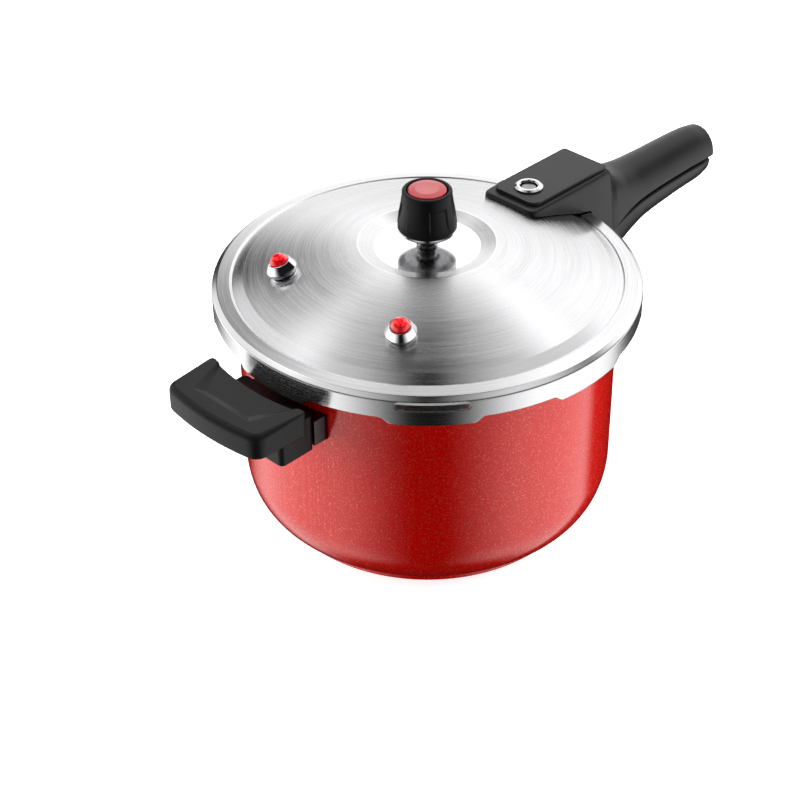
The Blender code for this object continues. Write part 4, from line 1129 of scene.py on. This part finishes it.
def camera():
    """Camera at the product view: looks down at the lid from the short handle's side."""
    azimuth = radians(45.35)
    elevation = radians(35.69)
    roll = radians(-0.556)
    distance = 1144.5
    look_z = 90.0
    shift_left, shift_down = 16.57, 21.35
    ahead = Vector((cos(elevation) * sin(azimuth), cos(elevation) * cos(azimuth), -sin(elevation)))
    right = Vector((cos(azimuth), -sin(azimuth), 0.0))
    up = right.cross(ahead)
    target = Vector((0.0, 0.0, look_z)) - right * shift_left - up * shift_down
    rolled_right = right * cos(roll) + up * sin(roll)
    rolled_up = rolled_right.cross(ahead)
    data = bpy.data.cameras.new("camera")
    data.lens = 85.3
    data.sensor_width = 36.0
    data.clip_start = 0.05
    data.clip_end = 50.0
    obj = linked("camera", data)
    turn = Matrix((rolled_right, rolled_up, -ahead)).transposed().to_4x4()
    obj.matrix_world = Matrix.Translation((target - ahead * distance) * MM) @ turn
    SCENE.camera = obj


def floor():
    """A pale floor and a round wall far out on it; reflections and bounced light don't see them."""
    half = 6000.0
    height = 8000.0
    ground = bmesh.new()
    bmesh.ops.create_grid(ground, x_segments=1, y_segments=1, size=half)
    moved(ground, Matrix.Translation((0.0, 0.0, -0.2)))
    wall = bmesh.new()
    bmesh.ops.create_cone(wall, cap_ends=False, segments=96, radius1=half - 100.0, radius2=half - 100.0,
                          depth=height, matrix=Matrix.Translation((0.0, 0.0, height / 2.0 - 1.0)))
    mat, _, shader = graph("pale_floor")
    fixed(shader, Base_Color=(0.80, 0.80, 0.80, 1.0), Roughness=0.9, Specular_IOR_Level=0.1,
          Emission_Color=(1.0, 1.0, 1.0, 1.0), Emission_Strength=0.7)
    backdrop = piece("backdrop", wall)
    backdrop.visible_shadow = False
    for obj in (piece("floor", ground), backdrop):
        obj.data.materials.append(mat)
        obj.visible_glossy = False
        obj.visible_diffuse = False


BACK_DEG = 44.65                # heading of the studio's back wall, seen from the pot

# (edge, softness) in degrees: left and right edge from the back wall, lower and upper edge; then brightness
SOFTBOXES = (
    ((-16.0, 17.0), (26.0, 16.0), (-22.0, 12.0), (56.0, 14.0), 1.15),
    ((26.0, 16.0), (66.0, 10.0), (0.0, 20.0), (56.0, 14.0), 1.40),
    ((-7.0, 14.0), (7.0, 14.0), (28.0, 14.0), (42.0, 14.0), 1.20),
    ((-84.0, 10.0), (-35.0, 8.0), (-10.0, 12.0), (60.0, 14.0), 1.0),
    ((62.0, 14.0), (144.0, 56.0), (-63.0, 17.0), (4.0, 26.0), 1.7),
    ((-144.0, 56.0), (-44.0, 36.0), (-63.0, 17.0), (4.0, 26.0), 1.65),
)


def soft_window(tree, value, low, high):
    """1 between two (edge, softness) bounds, easing to 0 on either side."""
    sides = []
    for (edge, soft), start in ((low, 0.0), (high, 1.0)):
        made = node(tree, "MapRange", {"interpolation_type": "SMOOTHSTEP"}, Value=value,
                    From_Min=edge - soft / 2.0, From_Max=edge + soft / 2.0, To_Min=start, To_Max=1.0 - start)
        sides.append(made.outputs["Result"])
    return scaled(tree, sides[0], sides[1])


def side_light(name, azimuth, elevation, power):
    """A large soft light that only shades; the world's soft boxes make the reflections."""
    data = bpy.data.lights.new(name, "AREA")
    data.shape = "RECTANGLE"
    data.size = 1.0
    data.size_y = 1.4
    data.energy = power
    obj = linked(name, data)
    heading = radians(BACK_DEG - azimuth)
    rise = radians(elevation)
    distance = 1.8
    aim = Vector((0.0, 0.0, 0.1))
    toward = Vector((cos(heading) * cos(rise), sin(heading) * cos(rise), sin(rise)))
    obj.location = toward * distance + aim
    obj.rotation_euler = (-toward).to_track_quat("-Z", "Y").to_euler()
    obj.visible_glossy = False


def studio():
    """A dark room with soft boxes all round and a bright ceiling with a dark gap along its middle."""
    world = bpy.data.worlds.new("studio")
    world.use_nodes = True
    tree = world.node_tree
    toward = node(tree, "TexCoord").outputs["Generated"]
    back = (cos(radians(BACK_DEG)), sin(radians(BACK_DEG)), 0.0)
    right = (back[1], -back[0], 0.0)
    along_back = vectors(tree, "DOT_PRODUCT", toward, i1=back)["Value"]
    along_right = vectors(tree, "DOT_PRODUCT", toward, i1=right)["Value"]
    height = node(tree, "SeparateXYZ", Vector=toward).outputs["Z"]
    azimuth = scaled(tree, maths(tree, "ARCTAN2", along_right, along_back), 180.0 / pi)
    elevation = scaled(tree, maths(tree, "ARCSINE", height), 180.0 / pi)
    total = 0.01
    for left, right_side, bottom, top, bright in SOFTBOXES:
        across = soft_window(tree, azimuth, left, right_side)
        box_light = scaled(tree, across, soft_window(tree, elevation, bottom, top))
        total = added(tree, total, scaled(tree, box_light, bright))
    aside = maths(tree, "ABSOLUTE", along_right)
    ceiling = soft_window(tree, elevation, (50.0, 18.0), (120.0, 10.0))
    total = added(tree, total, scaled(tree, spread(tree, aside, 0.05, 0.42, 0.0, 0.92), ceiling))
    shader = tree.nodes["Background"]
    tree.links.new(total, shader.inputs["Strength"])
    fixed(shader, Color=(1.0, 1.0, 1.0, 1.0))
    SCENE.world = world
    side_light("right_light", 88.0, 10.0, 48.0)
    side_light("left_light", -94.0, 10.0, 38.0)
    side_light("front_light", 180.0, 10.0, 8.0)
    side_light("back_light", 0.0, 60.0, 55.0)
    SCENE.view_settings.view_transform = "Standard"


pot()
base()
lower_handle()
helper_handle()
seal()
lid()
upper_handle()
cover_plate()
float_parts()
vent()
weight()
for number, degrees in enumerate(VALVE_DEG, start=1):
    safety_valve(number, degrees)
coil_spring("lock_spring", "lock", (1.0, 0.0, 0.0))
for number, degrees in enumerate(VALVE_DEG, start=1):
    coil_spring("safety_valve_spring_%d" % number, "safety_plunger_%d" % number,
                valve_matrix(degrees).col[2].xyz)
carried_over()
camera()
floor()
studio()
